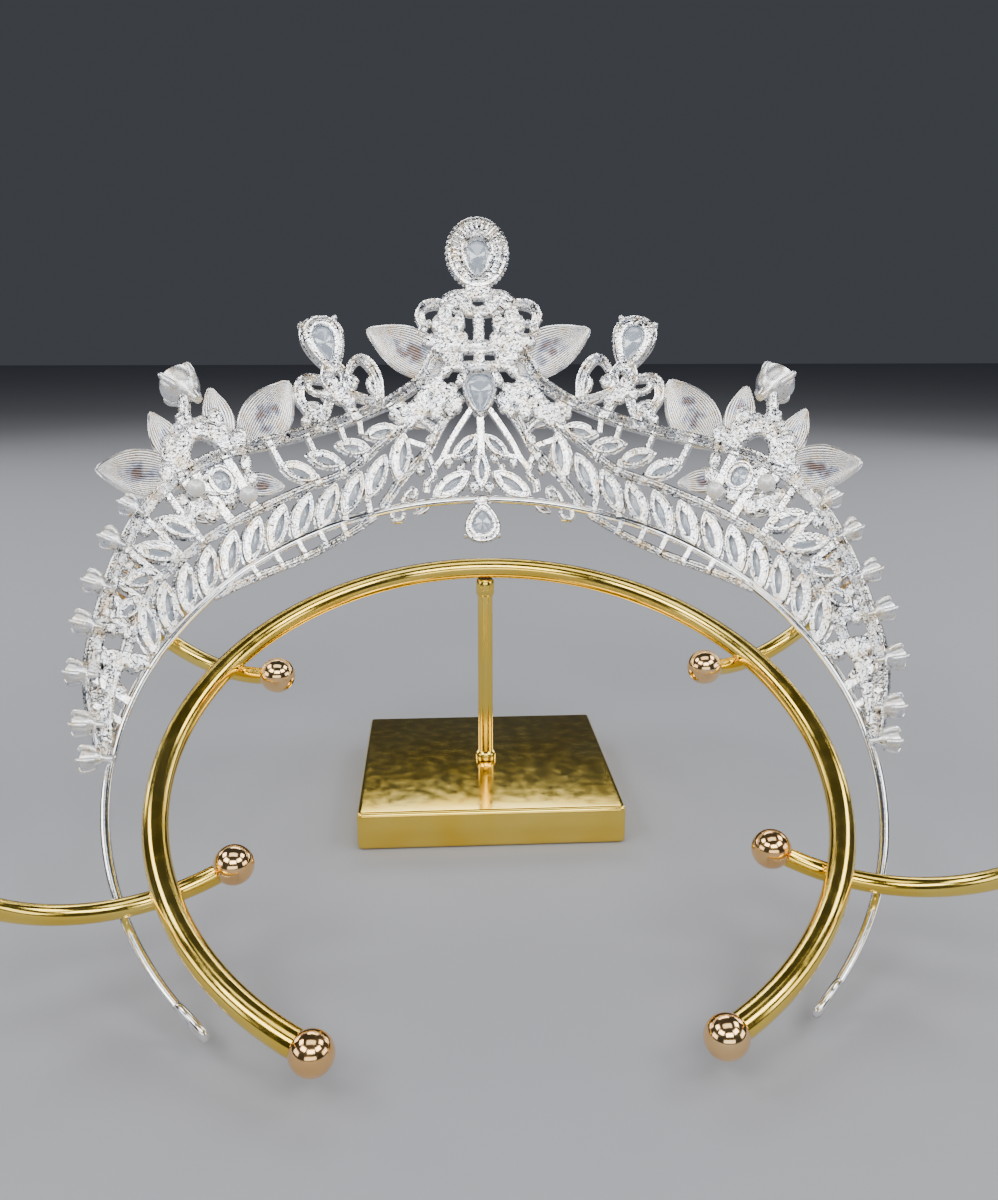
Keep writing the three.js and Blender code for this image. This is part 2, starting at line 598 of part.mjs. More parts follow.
function halfOpenwork(side) {
  const label = sideName(side);
  return [
    ...curvedMetal(side),
    ...lowerRow(side),
    ...upperRow(side),
    ...CENTRE_MARQUISES.map((row) => openMarquise(`${row.name}_${label}`, row, side)),
    openPear(`pear_stone_${label}`, PEAR, side),
    openOval(`oval_stone_${label}`, OVAL, side),
    ...PEARLS.map((row) => platedPearl(`pearl_${row.name}_${label}`, row, side)),
    ...prongRow(side),
  ];
}

// The pieces on the middle line

function centreOpenwork() {
  return [
    bandSweep(),
    ...[-1, 1].flatMap((side) => [tailWire(side), endEye(side)]),
    openMarquise('centre_marquise', CENTRE_UPRIGHT, 1),
    openPear('centre_stone', CENTRE_STONE, 1),
    openPear('bottom_stone', BOTTOM_DROP, 1),
    haloDrop(),
    ...CENTRE_BARS.map((row) => strut(row, 1)),
  ];
}

function tiaraFrame() {
  const pieces = [...centreOpenwork(), ...halfOpenwork(1), ...halfOpenwork(-1)];
  const mesh = new THREE.Mesh(toGeometry(join(pieces)), new THREE.MeshStandardMaterial(silver));
  mesh.name = 'tiara_frame';
  return mesh;
}

// Stand

function ringPoint(angle, radius, height) {
  const tilt = radians(RING.tilt);
  const forward = radius * Math.cos(radians(angle));
  return vector(
    radius * Math.sin(radians(angle)),
    RING.centre.y + forward * Math.cos(tilt) - height * Math.sin(tilt),
    RING.centre.z + forward * Math.sin(tilt) + height * Math.cos(tilt),
  );
}

function tube(points, radius, sides) {
  const rings = points.map((point, i) => {
    const before = points[Math.max(i - 1, 0)];
    const after = points[Math.min(i + 1, points.length - 1)];
    return wireRing(point, after.clone().sub(before).normalize(), radius, sides);
  });
  return loft(rings);
}

function armPoint(arm, side, reach) {
  const fromLowest = reach - arm.lowest;
  const rise = ARM.bow - Math.sqrt(ARM.bow ** 2 - fromLowest ** 2) - ARM.below;
  return ringPoint(side * arm.angle, RING.radius + reach, rise);
}

function armPoints(arm, side) {
  return Array.from({ length: ARM.steps + 1 }, (_, i) => (
    armPoint(arm, side, -ARM.inside + ((ARM.inside + ARM.outside) * i) / ARM.steps)
  ));
}

function ringPoints() {
  const half = 180 - RING.gap;
  return Array.from({ length: RING.steps + 1 }, (_, i) => (
    ringPoint(-half + (2 * half * i) / RING.steps, RING.radius, 0)
  ));
}

// A ball drilled with a blind socket, which opens along +Z, for the tube's end
function ballGeometry(tubeRadius) {
  const radius = BALL.diameter / 2;
  const hole = (tubeRadius + GAP) / Math.cos(Math.PI / BALL.sides);
  const mouth = Math.acos(hole / radius);
  const profile = [new THREE.Vector2(0, radius * Math.sin(mouth) - BALL.socket - GAP)];
  profile.push(new THREE.Vector2(hole, profile[0].y));
  for (let i = 0; i < BALL.steps; i += 1) {
    const angle = mouth - ((mouth + Math.PI / 2) * i) / BALL.steps;
    profile.push(new THREE.Vector2(radius * Math.cos(angle), radius * Math.sin(angle)));
  }
  profile.push(new THREE.Vector2(0, -radius));
  return new THREE.LatheGeometry(profile.reverse(), BALL.sides)
    .applyMatrix4(new THREE.Matrix4().makeRotationX(Math.PI / 2));
}

function ballMesh(name, end, before, tubeRadius) {
  const along = end.clone().sub(before).normalize();
  const mesh = new THREE.Mesh(ballGeometry(tubeRadius), new THREE.MeshStandardMaterial(gildedBall));
  const mouth = Math.sqrt((BALL.diameter / 2) ** 2 - (tubeRadius + GAP) ** 2);
  mesh.quaternion.setFromUnitVectors(vector(0, 0, 1), along.clone().negate());
  mesh.position.copy(end).addScaledVector(along, mouth - BALL.socket);
  mesh.name = name;
  return mesh;
}

function standBase() {
  const half = BASE.side / 2 - BASE.round;
  const outline = new THREE.Shape([
    new THREE.Vector2(-half, -half), new THREE.Vector2(half, -half),
    new THREE.Vector2(half, half), new THREE.Vector2(-half, half),
  ]);
  const plate = new THREE.ExtrudeGeometry(outline, {
    depth: BASE.height - 2 * BASE.round,
    bevelEnabled: true, bevelThickness: BASE.round, bevelSize: BASE.round, bevelSegments: 3,
  });
  const mesh = new THREE.Mesh(plate, new THREE.MeshStandardMaterial(gilt));
  mesh.position.z = BASE.round;
  mesh.name = 'stand_base';
  return mesh;
}

function standPost() {
  const top = ringPoint(0, RING.radius, 0).z - RING.tube / 2 - POST.topGap;
  const foot = BASE.height + GAP;
  const profile = [
    [0, foot], [POST.footRadius, foot], [POST.footRadius, foot + POST.footHeight],
    [POST.radius, foot + POST.footHeight + POST.shoulder], [POST.radius, top - POST.collarHeight],
    [POST.collarRadius, top - POST.collarHeight], [POST.collarRadius, top], [0, top],
  ];
  const points = profile.map(([x, y]) => new THREE.Vector2(x, y));
  const post = new THREE.LatheGeometry(points, POST.sides);
  const mesh = new THREE.Mesh(post, new THREE.MeshStandardMaterial(gilt));
  mesh.rotation.x = Math.PI / 2;
  mesh.name = 'stand_post';
  return mesh;
}

function standRing() {
  const pieces = [tube(ringPoints(), RING.tube / 2, RING.sides)];
  for (const arm of ARMS) {
    for (const side of [-1, 1]) pieces.push(tube(armPoints(arm, side), ARM.tube / 2, ARM.sides));
  }
  const mesh = new THREE.Mesh(toGeometry(join(pieces)), new THREE.MeshStandardMaterial(gilt));
  mesh.name = 'stand_ring';
  return mesh;
}

function standBalls() {
  const balls = [];
  for (const side of [-1, 1]) {
    const ring = side < 0 ? ringPoints().reverse() : ringPoints();
    balls.push(ballMesh(`ball_ring_${sideName(side)}`, ring.at(-1), ring.at(-2), RING.tube / 2));
    for (const arm of ARMS) {
      const points = armPoints(arm, side);
      const label = `${arm.name}_${sideName(side)}`;
      balls.push(ballMesh(`ball_inner_${label}`, points[0], points[1], ARM.tube / 2));
      balls.push(ballMesh(`ball_outer_${label}`, points.at(-1), points.at(-2), ARM.tube / 2));
    }
  }
  return balls;
}

const tiara = new THREE.Group();
tiara.add(tiaraFrame(), ...stones);
tiara.rotation.x = radians(BAND_TILT);
tiara.position.set(0, BAND_CENTRE.y, BAND_CENTRE.z);

const stand = new THREE.Group();
stand.add(standBase(), standPost(), standRing(), ...standBalls());

const group = new THREE.Group();
group.add(stand, tiara);

export default group;
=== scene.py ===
# %% [markdown]
# # A crystal tiara on its gilt stand
#
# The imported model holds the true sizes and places. This notebook dresses it: the cast openwork, the cut
# stones, the pearls and the polished stand are modelled in detail where the plain solids lie, and each
# gets the finish of its real material. The camera stands behind the tiara, so its inner face and the open
# backs of its stones are what shows first.

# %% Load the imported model
import math

import bpy
from mathutils import Matrix, Vector


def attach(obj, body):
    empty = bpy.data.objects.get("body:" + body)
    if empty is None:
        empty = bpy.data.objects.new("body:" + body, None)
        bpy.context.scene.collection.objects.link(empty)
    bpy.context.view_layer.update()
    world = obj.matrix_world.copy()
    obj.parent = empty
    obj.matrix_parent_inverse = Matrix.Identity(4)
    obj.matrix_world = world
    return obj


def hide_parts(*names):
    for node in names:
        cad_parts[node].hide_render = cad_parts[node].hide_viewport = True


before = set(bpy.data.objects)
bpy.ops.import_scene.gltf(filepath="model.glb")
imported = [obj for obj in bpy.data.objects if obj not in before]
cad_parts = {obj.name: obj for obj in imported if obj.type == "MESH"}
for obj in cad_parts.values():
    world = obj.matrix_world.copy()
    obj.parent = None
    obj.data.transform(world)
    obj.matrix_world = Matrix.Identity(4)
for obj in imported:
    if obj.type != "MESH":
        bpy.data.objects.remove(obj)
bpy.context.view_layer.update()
print("nodes in the frame:", len(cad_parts))

# %% [markdown]
# ## Driving sizes
#
# A cast tiara is made flat and then bent round a mandrel, a steel cone. The same is done here: every
# piece of the openwork is drawn on a flat pattern in millimetres, and rolled on to the cone at the end.
# The pattern of a cone is a fan, so bending it stretches nothing and every stone keeps its true outline.
# A place on the pattern has two numbers: phi, degrees round the head from the front, and w, millimetres
# up the slope from the headband. Height over the pattern is towards the wearer, which is the side that
# the camera sees.

# %% Sizes of the cone and of its place on the stand
MM = 0.001
BAND_RADIUS = 75.0
FLARE = math.radians(51)
BAND_TILT = math.radians(31.1)
BAND_CENTRE = Vector((0, -49.7, 32.5))
SLANT = BAND_RADIUS / math.sin(FLARE)
WIRE_END = 133.0
SIDES = (-1, 1)
SIDE_NAME = {-1: "left", 1: "right"}

print(f"slant length from the cone's tip to the band: {SLANT:.1f} mm")


# %% From the pattern to the cone
def pattern_angle(phi):
    """The fan's own angle for a place phi degrees round the head."""
    return math.radians(phi) * math.sin(FLARE)


def flat(phi, w, lift=0.0):
    """A place on the flat pattern, in millimetres."""
    angle = pattern_angle(phi)
    reach = SLANT + w
    return Vector((reach * math.sin(angle), reach * math.cos(angle) - SLANT, lift))


def rolled(point):
    """Where a point of the pattern comes to lie on the stand, in metres."""
    reach = math.hypot(point.x, point.y + SLANT)
    around = math.atan2(point.x, point.y + SLANT) / math.sin(FLARE)
    radius = reach * math.sin(FLARE) - point.z * math.cos(FLARE)
    height = (reach - SLANT) * math.cos(FLARE) + point.z * math.sin(FLARE)
    level = Vector((radius * math.sin(around), radius * math.cos(around), height))
    return (Matrix.Rotation(BAND_TILT, 3, "X") @ level + BAND_CENTRE) * MM


def on_pattern(phi, w, turn=0.0, lift=0.0):
    """The matrix that lays a piece on the pattern; turn leans its top towards the middle of the tiara."""
    side = -1 if phi < 0 else 1
    spin = Matrix.Rotation(math.radians(turn) * side - pattern_angle(phi), 4, "Z")
    return Matrix.Translation(flat(phi, w, lift)) @ spin


print("the band's front lies at, mm:", [round(value / MM, 1) for value in rolled(flat(0, 0))])

# %% [markdown]
# ## Hand tools
#
# The steps that every piece goes through: a primitive is added, shaped in edit mode, laid on the pattern
# as often as it is needed, soldered to its neighbours and rolled on the mandrel. All the cast pieces
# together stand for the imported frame. Tables of sizes are written with named columns, one row for each
# piece.

# %% Small helpers for adding, shaping and joining
def deselect():
    bpy.ops.object.select_all(action="DESELECT")


def only(piece):
    deselect()
    piece.select_set(True)
    bpy.context.view_layer.objects.active = piece
    return piece


def edit(piece):
    only(piece)
    bpy.ops.object.mode_set(mode="EDIT")
    bpy.ops.mesh.select_all(action="SELECT")


def leave_edit():
    bpy.ops.object.mode_set(mode="OBJECT")


def clean(piece):
    """Merge doubled points and turn all faces outwards."""
    edit(piece)
    bpy.ops.mesh.remove_doubles(threshold=1e-5)
    bpy.ops.mesh.normals_make_consistent(inside=False)
    leave_edit()
    return piece


def copy_at(master, matrix, name=""):
    """A copy with a mesh of its own, moved to its place inside that mesh."""
    twin = master.copy()
    twin.data = master.data.copy()
    twin.name = name or master.name
    bpy.context.scene.collection.objects.link(twin)
    twin.data.transform(matrix)
    if matrix.determinant() < 0:
        twin.data.flip_normals()
    return twin


def put_away(*masters):
    for master in masters:
        bpy.data.objects.remove(master)


def solder(name, pieces):
    """Join pieces into one object."""
    deselect()
    for piece in pieces:
        piece.select_set(True)
    bpy.context.view_layer.objects.active = pieces[0]
    bpy.ops.object.join()
    joined = bpy.context.object
    joined.name = name
    joined.data.name = name
    return joined


def roll(piece):
    """Bend a finished piece of the pattern round the mandrel."""
    for vertex in piece.data.vertices:
        vertex.co = rolled(vertex.co)
    piece.data.update()
    return piece


def smooth(piece, degrees=40):
    only(piece)
    bpy.ops.object.shade_smooth_by_angle(angle=math.radians(degrees))
    return piece


def finish(piece, material, slot, *nodes):
    """Give a piece its material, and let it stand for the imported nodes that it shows."""
    piece.data.materials.clear()
    piece.data.materials.append(material)
    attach(piece, "root")
    if nodes:
        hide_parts(*nodes)
    print(piece.name, "-", len(piece.data.polygons), "faces")
    return piece


def sided(name, phi):
    """The names and sides of a piece: one on the middle line, or one on each side."""
    return [(f"{name}_{SIDE_NAME[side]}", side) for side in SIDES] if phi else [(name, 1)]


def cast(piece, material, degrees=40):
    """Roll a piece of the casting on the mandrel and plate it."""
    return finish(smooth(roll(piece), degrees), material, "silver_metal", "tiara_frame")


def table(columns, *rows):
    """Rows of values, each as a dictionary by the names of its columns; the last columns may be left out."""
    return [dict(zip(columns.split(), row)) for row in rows]


# %% [markdown]
# ## Outlines
#
# Four outlines make nearly everything: the marquise, the pear, the oval and the round. Each is a formula,
# so a cup, its opening and its stone always agree.

# %% Outline formulas
MARQUISE_POWER = 1.5
PEAR_SWELL = 0.38


def outline_point(shape, angle, length, width):
    across, up = math.cos(angle), math.sin(angle)
    if shape == "marquise":
        return width / 2 * math.copysign(abs(across) ** MARQUISE_POWER, across), length / 2 * up
    if shape == "pear":
        return width / 2 * across * (1 + PEAR_SWELL * up), length / 2 * up
    return width / 2 * across, length / 2 * up


def outline(shape, length, width, height, sides, offset=0.0):
    turns = [2 * math.pi * (k + offset) / sides for k in range(sides)]
    return [Vector((*outline_point(shape, turn, length, width), height)) for turn in turns]


print("outlines: marquise, pear and oval; a round is an oval as wide as it is long")

# %% [markdown]
# ## Raised work
#
# Cups, collets and plates are one outline taken through a table of steps, as by extruding and scaling an
# edge loop: each row is a length, a width and a height. A cup that is open right through has its last
# loop bridged to its first; a solid piece has both ends filled.

# %% Take an outline through its steps
def raise_work(name, shape, rows, sides=24, through=True):
    """rows are (length, width, height, aside); the first row is the front edge, and aside may be left out."""
    rows = [(*row, 0.0)[:4] for row in rows]
    deselect()
    bpy.ops.mesh.primitive_circle_add(vertices=sides, radius=1, fill_type="NOTHING")
    piece = bpy.context.object
    piece.name = name
    for vertex, point in zip(piece.data.vertices, outline(shape, *rows[0][:3], sides)):
        vertex.co = point
    edit(piece)
    for (length, width, height, aside), (new_length, new_width, new_height, new_aside) in zip(rows, rows[1:]):
        bpy.ops.mesh.extrude_edges_move()
        grow = (new_width / width, new_length / length, 1)
        bpy.ops.transform.resize(value=grow, center_override=(aside, 0, 0))
        bpy.ops.transform.translate(value=(new_aside - aside, 0, new_height - height))
    bpy.ops.mesh.select_all(action="DESELECT")
    bpy.ops.mesh.select_non_manifold()
    if through:
        bpy.ops.mesh.bridge_edge_loops()
    else:
        bpy.ops.mesh.fill_holes(sides=0)
    leave_edit()
    return clean(piece)

# %% [markdown]
# ## Wires and rails
#
# Rails, scrolls and struts are cast strips that follow a line. A smooth line is drawn through a few
# places of the pattern, and a section is swept along it with Blender's own curve bevel, which keeps the
# section upright on a flat pattern. The section says what strip it is: a grooved rail, a double band wire
# or a round rod.

# %% Lines and sections
CURVE_STEP = 0.9
CURVE_PARTS = 12


def between(before, start, end, after, share):
    """One point of a Catmull-Rom line."""
    square, cube = share * share, share ** 3
    return 0.5 * (
        2 * start + (end - before) * share
        + (2 * before - 5 * start + 4 * end - after) * square
        + (3 * start - before - 3 * end + after) * cube
    )


def smooth_line(places, step=CURVE_STEP):
    """Points at even steps along a smooth line through the places."""
    ends = [2 * places[0] - places[1], *places, 2 * places[-1] - places[-2]]
    dense = []
    for before, start, end, after in zip(ends, ends[1:], ends[2:], ends[3:]):
        dense += [between(before, start, end, after, k / CURVE_PARTS) for k in range(CURVE_PARTS)]
    dense.append(places[-1])
    lengths = [0.0]
    for start, end in zip(dense, dense[1:]):
        lengths.append(lengths[-1] + (end - start).length)
    count = max(2, round(lengths[-1] / step))
    points, k = [], 0
    for i in range(count + 1):
        wanted = lengths[-1] * i / count
        while k < len(dense) - 2 and lengths[k + 1] < wanted:
            k += 1
        span = lengths[k + 1] - lengths[k]
        points.append(dense[k].lerp(dense[k + 1], (wanted - lengths[k]) / span if span else 0))
    return points


GROOVED = ((-1, -1), (1, -1), (1, 0.7), (0.88, 1), (0.68, 0.95), (0.46, 0.2), (0, -0.1),
           (-0.46, 0.2), (-0.68, 0.95), (-0.88, 1), (-1, 0.7))
FLAT_STRIP = ((-1, -1), (1, -1), (1, 0.6), (0.75, 1), (-0.75, 1), (-1, 0.6))


def round_shares(sides=10):
    return [(math.cos(2 * math.pi * k / sides), math.sin(2 * math.pi * k / sides)) for k in range(sides)]


def double_shares(sides=7, sweep=250):
    """Two round wires side by side, with a groove between them on both faces."""
    right = [math.radians(sweep * (k / (sides - 1) - 0.5)) for k in range(sides)]
    half = [(0.5 + 0.5 * math.cos(turn), math.sin(turn)) for turn in right]
    return half + [(-x, -y) for x, y in half]


SECTIONS = {"grooved": GROOVED, "strip": FLAT_STRIP, "round": round_shares(), "double": double_shares()}


def section_curve(shares, width, height):
    curve = bpy.data.curves.new("section", "CURVE")
    spline = curve.splines.new("POLY")
    spline.points.add(len(shares) - 1)
    for point, (x, y) in zip(spline.points, shares):
        point.co = (x * width / 2, y * height / 2, 0, 1)
    spline.use_cyclic_u = True
    section = bpy.data.objects.new("section", curve)
    bpy.context.scene.collection.objects.link(section)
    return section


def swell_at(swell, share):
    """A wire's share of its full size; share is 0 at its start, 1 at its middle and 2 at its end."""
    start, middle, end = swell
    if share < 1:
        return start + (middle - start) * share
    return middle + (end - middle) * (share - 1)


def swept(name, points, width, height, section="round", swell=None, closed=False):
    """Sweep a section along points; swell gives its share of the full size at the start, middle and end."""
    deselect()
    bpy.ops.curve.primitive_nurbs_path_add()
    wire = bpy.context.object
    wire.name = name
    curve = wire.data
    curve.splines.clear()
    spline = curve.splines.new("POLY")
    spline.points.add(len(points) - 1)
    for i, (knot, point) in enumerate(zip(spline.points, points)):
        knot.co = (*point, 1)
        if swell:
            knot.radius = swell_at(swell, 2 * i / (len(points) - 1))
    spline.use_cyclic_u = closed
    curve.dimensions = "3D"
    curve.twist_mode = "Z_UP"
    curve.bevel_mode = "OBJECT"
    curve.bevel_object = section_curve(SECTIONS[section], width, height)
    curve.use_fill_caps = not closed
    section_object = curve.bevel_object
    only(wire)
    bpy.ops.object.convert(target="MESH")
    put_away(section_object)
    return clean(bpy.context.object)


def pattern_line(row, side, step=CURVE_STEP):
    return smooth_line([flat(side * phi, w) for phi, w in zip(row["phi"], row["w"])], step)


def cast_wire(row, side):
    section, swell = row.get("section", "round"), row.get("swell")
    return swept(row["name"], pattern_line(row, side), row["width"], row["height"], section, swell)


print("sections and their corners:", {name: len(shares) for name, shares in SECTIONS.items()})

# %% [markdown]
# ## Beads and claws
#
# Fine rows of round grains run along the casting's edges: from behind they show as small teeth on its
# outline, which are the tips of the settings on the front. One grain is modelled and copied along a line.

# %% Rows of grains
def ball_master(name, diameter, detail):
    deselect()
    bpy.ops.mesh.primitive_ico_sphere_add(subdivisions=detail, radius=diameter / 2)
    ball = bpy.context.object
    ball.name = name
    return ball


def grains_along(points, diameter, detail=1):
    grain = ball_master("grain", diameter, detail)
    row = [copy_at(grain, Matrix.Translation(point)) for point in points]
    put_away(grain)
    return row


def offset_line(points, distance, lift=0.0):
    """The line moved sideways on the pattern, and lifted."""
    moved = []
    for i, point in enumerate(points):
        along = points[min(i + 1, len(points) - 1)] - points[max(i - 1, 0)]
        side = Vector((-along.y, along.x, 0)).normalized()
        moved.append(point + side * distance + Vector((0, 0, lift)))
    return moved


# %% [markdown]
# ## Cut stones
#
# A stone has a flat table to the front, crown facets down to its girdle, and a deeper pavilion that comes
# to a point at the back. The corner points of its facets are set by the outline's formula, the crown's
# and the pavilion's middle corners half a step on, and a convex hull makes the facets between them, as
# flat as a lapidary's wheel would.

# %% Cut a stone
STONE = {"table": 0.58, "crown_break": 0.84, "crown_height": 0.5, "girdle_half": 0.06, "pavilion_break": 0.56,
         "pavilion_height": 0.55, "sides": 12, "fine_sides": 16}
HALF_STEP = 0.5


def cut_stone(name, shape, length, width, girdle, crown, depth, sides=STONE["sides"], keel=0.0):
    """girdle is its height on the pattern; keel is half the length of the ridge that a marquise ends in."""
    rows = (
        (STONE["table"], girdle - crown, 0.0),
        (STONE["crown_break"], girdle - crown * STONE["crown_height"], HALF_STEP),
        (1.0, girdle - STONE["girdle_half"], 0.0),
        (1.0, girdle + STONE["girdle_half"], 0.0),
        (STONE["pavilion_break"], girdle + depth * STONE["pavilion_height"], HALF_STEP),
    )
    points = []
    for share, height, offset in rows:
        points += outline(shape, length * share, width * share, height, sides, offset)
    points += [Vector((0, end * keel, girdle + depth)) for end in SIDES]
    deselect()
    mesh = bpy.data.meshes.new(name)
    mesh.from_pydata(points, [], [])
    stone = bpy.data.objects.new(name, mesh)
    bpy.context.scene.collection.objects.link(stone)
    edit(stone)
    bpy.ops.mesh.remove_doubles(threshold=1e-4)
    bpy.ops.mesh.convex_hull()
    bpy.ops.mesh.dissolve_limited(angle_limit=math.radians(1.5))
    leave_edit()
    return stone


def lay_stone(stone, *nodes):
    return finish(roll(stone), crystal, "crystal", *nodes)


print("facets round a stone:", STONE["sides"], "or", STONE["fine_sides"])

# %% [markdown]
# ## Marquise cups
#
# Each cup is a boat-shaped collet: a bright outer rim, a dished floor, and a narrow pointed opening through
# which the stone's back shows. On the front the stone lies in a wider seat. Twelve of one size stand along
# the headband on each side; the upper rail carries eight of different sizes. A cup could be turned from a
# profile, but a boat shape has no axis, so its outline is extruded through a table of steps instead.

# %% Sizes of the cup's steps, in millimetres inwards from its outline
CUP_FRONT = -1.2
CUP_BACK = 1.35
CUP_STEPS = (
    (0.4, 0.3, CUP_FRONT),
    (-0.4, -0.28, CUP_FRONT + 0.4),
    (-0.4, -0.28, CUP_FRONT + 0.85),
    (0.35, 0.22, CUP_FRONT + 1.05),
    (0.35, 0.22, CUP_FRONT + 1.3),
    (0.0, 0.0, CUP_FRONT + 1.6),
    (0.0, 0.0, CUP_BACK - 0.3),
    (0.25, 0.16, CUP_BACK),
    (0.6, 0.36, CUP_BACK),
    (0.8, 0.48, CUP_BACK - 0.3),
    (1.0, 0.6, CUP_BACK - 0.12),
)
CUP_FLOOR = ((0.4, 0.16, 1.26), (0.1, 0.05, 1.16), (0.0, 0.0, 0.9), (0.0, 0.0, 0.15))
CUP_SEAT = ((1.6, 1.05, 0.0), (1.3, 0.85, CUP_FRONT))
CUP_SIDES = 20
OPENING = {"length": 0.56, "width": 0.34, "aside": 0.11}
MARQUISE_CUT = {"shorter": 3.0, "narrower": 1.9, "girdle": -0.15, "crown": 1.35, "depth": 0.85, "keel": 0.14}


def cup_rows(length, width, side):
    """The opening lies a little off the middle, on the side of the next cup towards the centre."""
    open_length, open_width = length * OPENING["length"], width * OPENING["width"]
    aside = -side * width * OPENING["aside"]
    rows = [(length - 2 * point, width - 2 * inset, height) for point, inset, height in CUP_STEPS]
    rows += [(open_length + 2 * point, open_width + 2 * inset, height, aside)
             for point, inset, height in CUP_FLOOR]
    rows += [(length - 2 * point, width - 2 * inset, height) for point, inset, height in CUP_SEAT]
    return rows


def marquise_cup(length, width, side=0):
    return raise_work("marquise_cup", "marquise", cup_rows(length, width, side), CUP_SIDES)


def marquise_stone(name, length, width):
    cut = MARQUISE_CUT
    return cut_stone(name, "marquise", length - cut["shorter"], width - cut["narrower"], cut["girdle"],
                     cut["crown"], cut["depth"], keel=length * cut["keel"])


# %% Places of the cups of one half
LOWER_ROW = {"phi": 13.6, "step": 4.93, "w": 4.9, "length": 12.4, "width": 4.9}
LOWER_CLIMB = (12.3, 8.6, 6.0)
LOWER_TURNS = (19, 38, 41, 43.5, 45, 46.5, 47.5, 48, 47.5, 46, 45, 44)
UPPER_ROW = table(
    "phi w turn length width",
    (15.9, 19.3, 86, 8.6, 4.2),
    (20.8, 17.0, -70, 8.6, 4.2),
    (25.8, 15.8, -58, 9.0, 4.4),
    (30.5, 15.0, -50, 9.6, 4.8),
    (51.9, 16.4, -34, 10.0, 5.0),
    (57.0, 14.9, -46, 11.0, 5.0),
    (62.0, 13.0, -66, 8.6, 4.2),
    (67.2, 10.8, -80, 7.8, 3.8),
)
LOOSE_UPPER = 4
FERN = table(
    "name phi w turn length width",
    ("small_marquise", 2.5, 13.5, 48, 8.4, 3.6),
    ("wide_marquise", 5.4, 4.0, 58, 11.0, 5.2),
    ("centre_marquise", 0.0, 7.4, 0, 9.4, 4.0),
)


def lower_places():
    for i, turn in enumerate(LOWER_TURNS):
        w = LOWER_CLIMB[i] if i < len(LOWER_CLIMB) else LOWER_ROW["w"]
        yield LOWER_ROW["phi"] + LOWER_ROW["step"] * i, w, turn


print("marquise cups on each half:", len(LOWER_TURNS) + len(UPPER_ROW), "and", len(FERN), "in the fern")

# %% [markdown]
# ## Finishes
#
# Colours are given as sRGB hex values, as a colour picker shows them, and turned to the linear values
# that Blender works in. One small function adds a node with its settings and links, so that each finish
# reads as a short list of what it is made of.

# %% Colour and node helpers
def linear(hex_colour):
    channels = [int(hex_colour[i:i + 2], 16) / 255 for i in (1, 3, 5)]
    curve = [c / 12.92 if c <= 0.04045 else ((c + 0.055) / 1.055) ** 2.4 for c in channels]
    return (*curve, 1.0)


def new_finish(name):
    print("finish:", name)
    material = bpy.data.materials.new(name)
    material.use_nodes = True
    return material, material.node_tree.nodes["Principled BSDF"]


def add(material, kind, settings=None, links=None, stops=(), **values):
    """Add a node: settings are its options, links {socket: (node, output)}, stops a ramp's places and hex
    colours, and values its other sockets."""
    node = material.node_tree.nodes.new(kind)
    for option, value in (settings or {}).items():
        setattr(node, option, value)
    for socket, value in values.items():
        node.inputs[socket.replace("_", " ")].default_value = value
    for socket, (source, output) in (links or {}).items():
        material.node_tree.links.new(source.outputs[output], node.inputs[socket])
    while stops and len(node.color_ramp.elements) < len(stops):
        node.color_ramp.elements.new(0.5)
    for i, (place, colour) in enumerate(stops):
        node.color_ramp.elements[i].position = place
        node.color_ramp.elements[i].color = linear(colour)
    return node


def link(material, source, output, target, socket):
    material.node_tree.links.new(source.outputs[output], target.inputs[socket])


# A colour Mix node's sockets share their names, so they are told apart by number
MULTIPLY = {"data_type": "RGBA", "blend_type": "MULTIPLY"}
MIX_A, MIX_B, MIX_RESULT = 6, 7, 2


# %% [markdown]
# ### Bright plated casting
#
# The openwork is zinc alloy, spun into a rubber mould and plated bright with rhodium. The mould leaves an
# orange peel and small pits. The pits are not modelled; dark specks of painted shade in the colour stand
# for the shade in them, the peel breaks every highlight, and where the plating is thin the metal under it
# shows through as a faint warm tint. Real pits are a few tenths of a millimetre wide; these specks are
# drawn about twice as coarse, so that they still show from the camera. The drawn wire has hardly any, the
# melted masses have most, and the cups of the round stones were tumbled to a satin skin.

# %% Bright plated casting
# The first two give the size and the soft edge of the dark specks of painted pit shade.
PIT_SHADE_MM = 0.62
PIT_SHADE_EDGE = 0.06
PEEL_MM = 0.5
PEEL_DEPTH_MM = 0.1
TINT_MM = 2.6


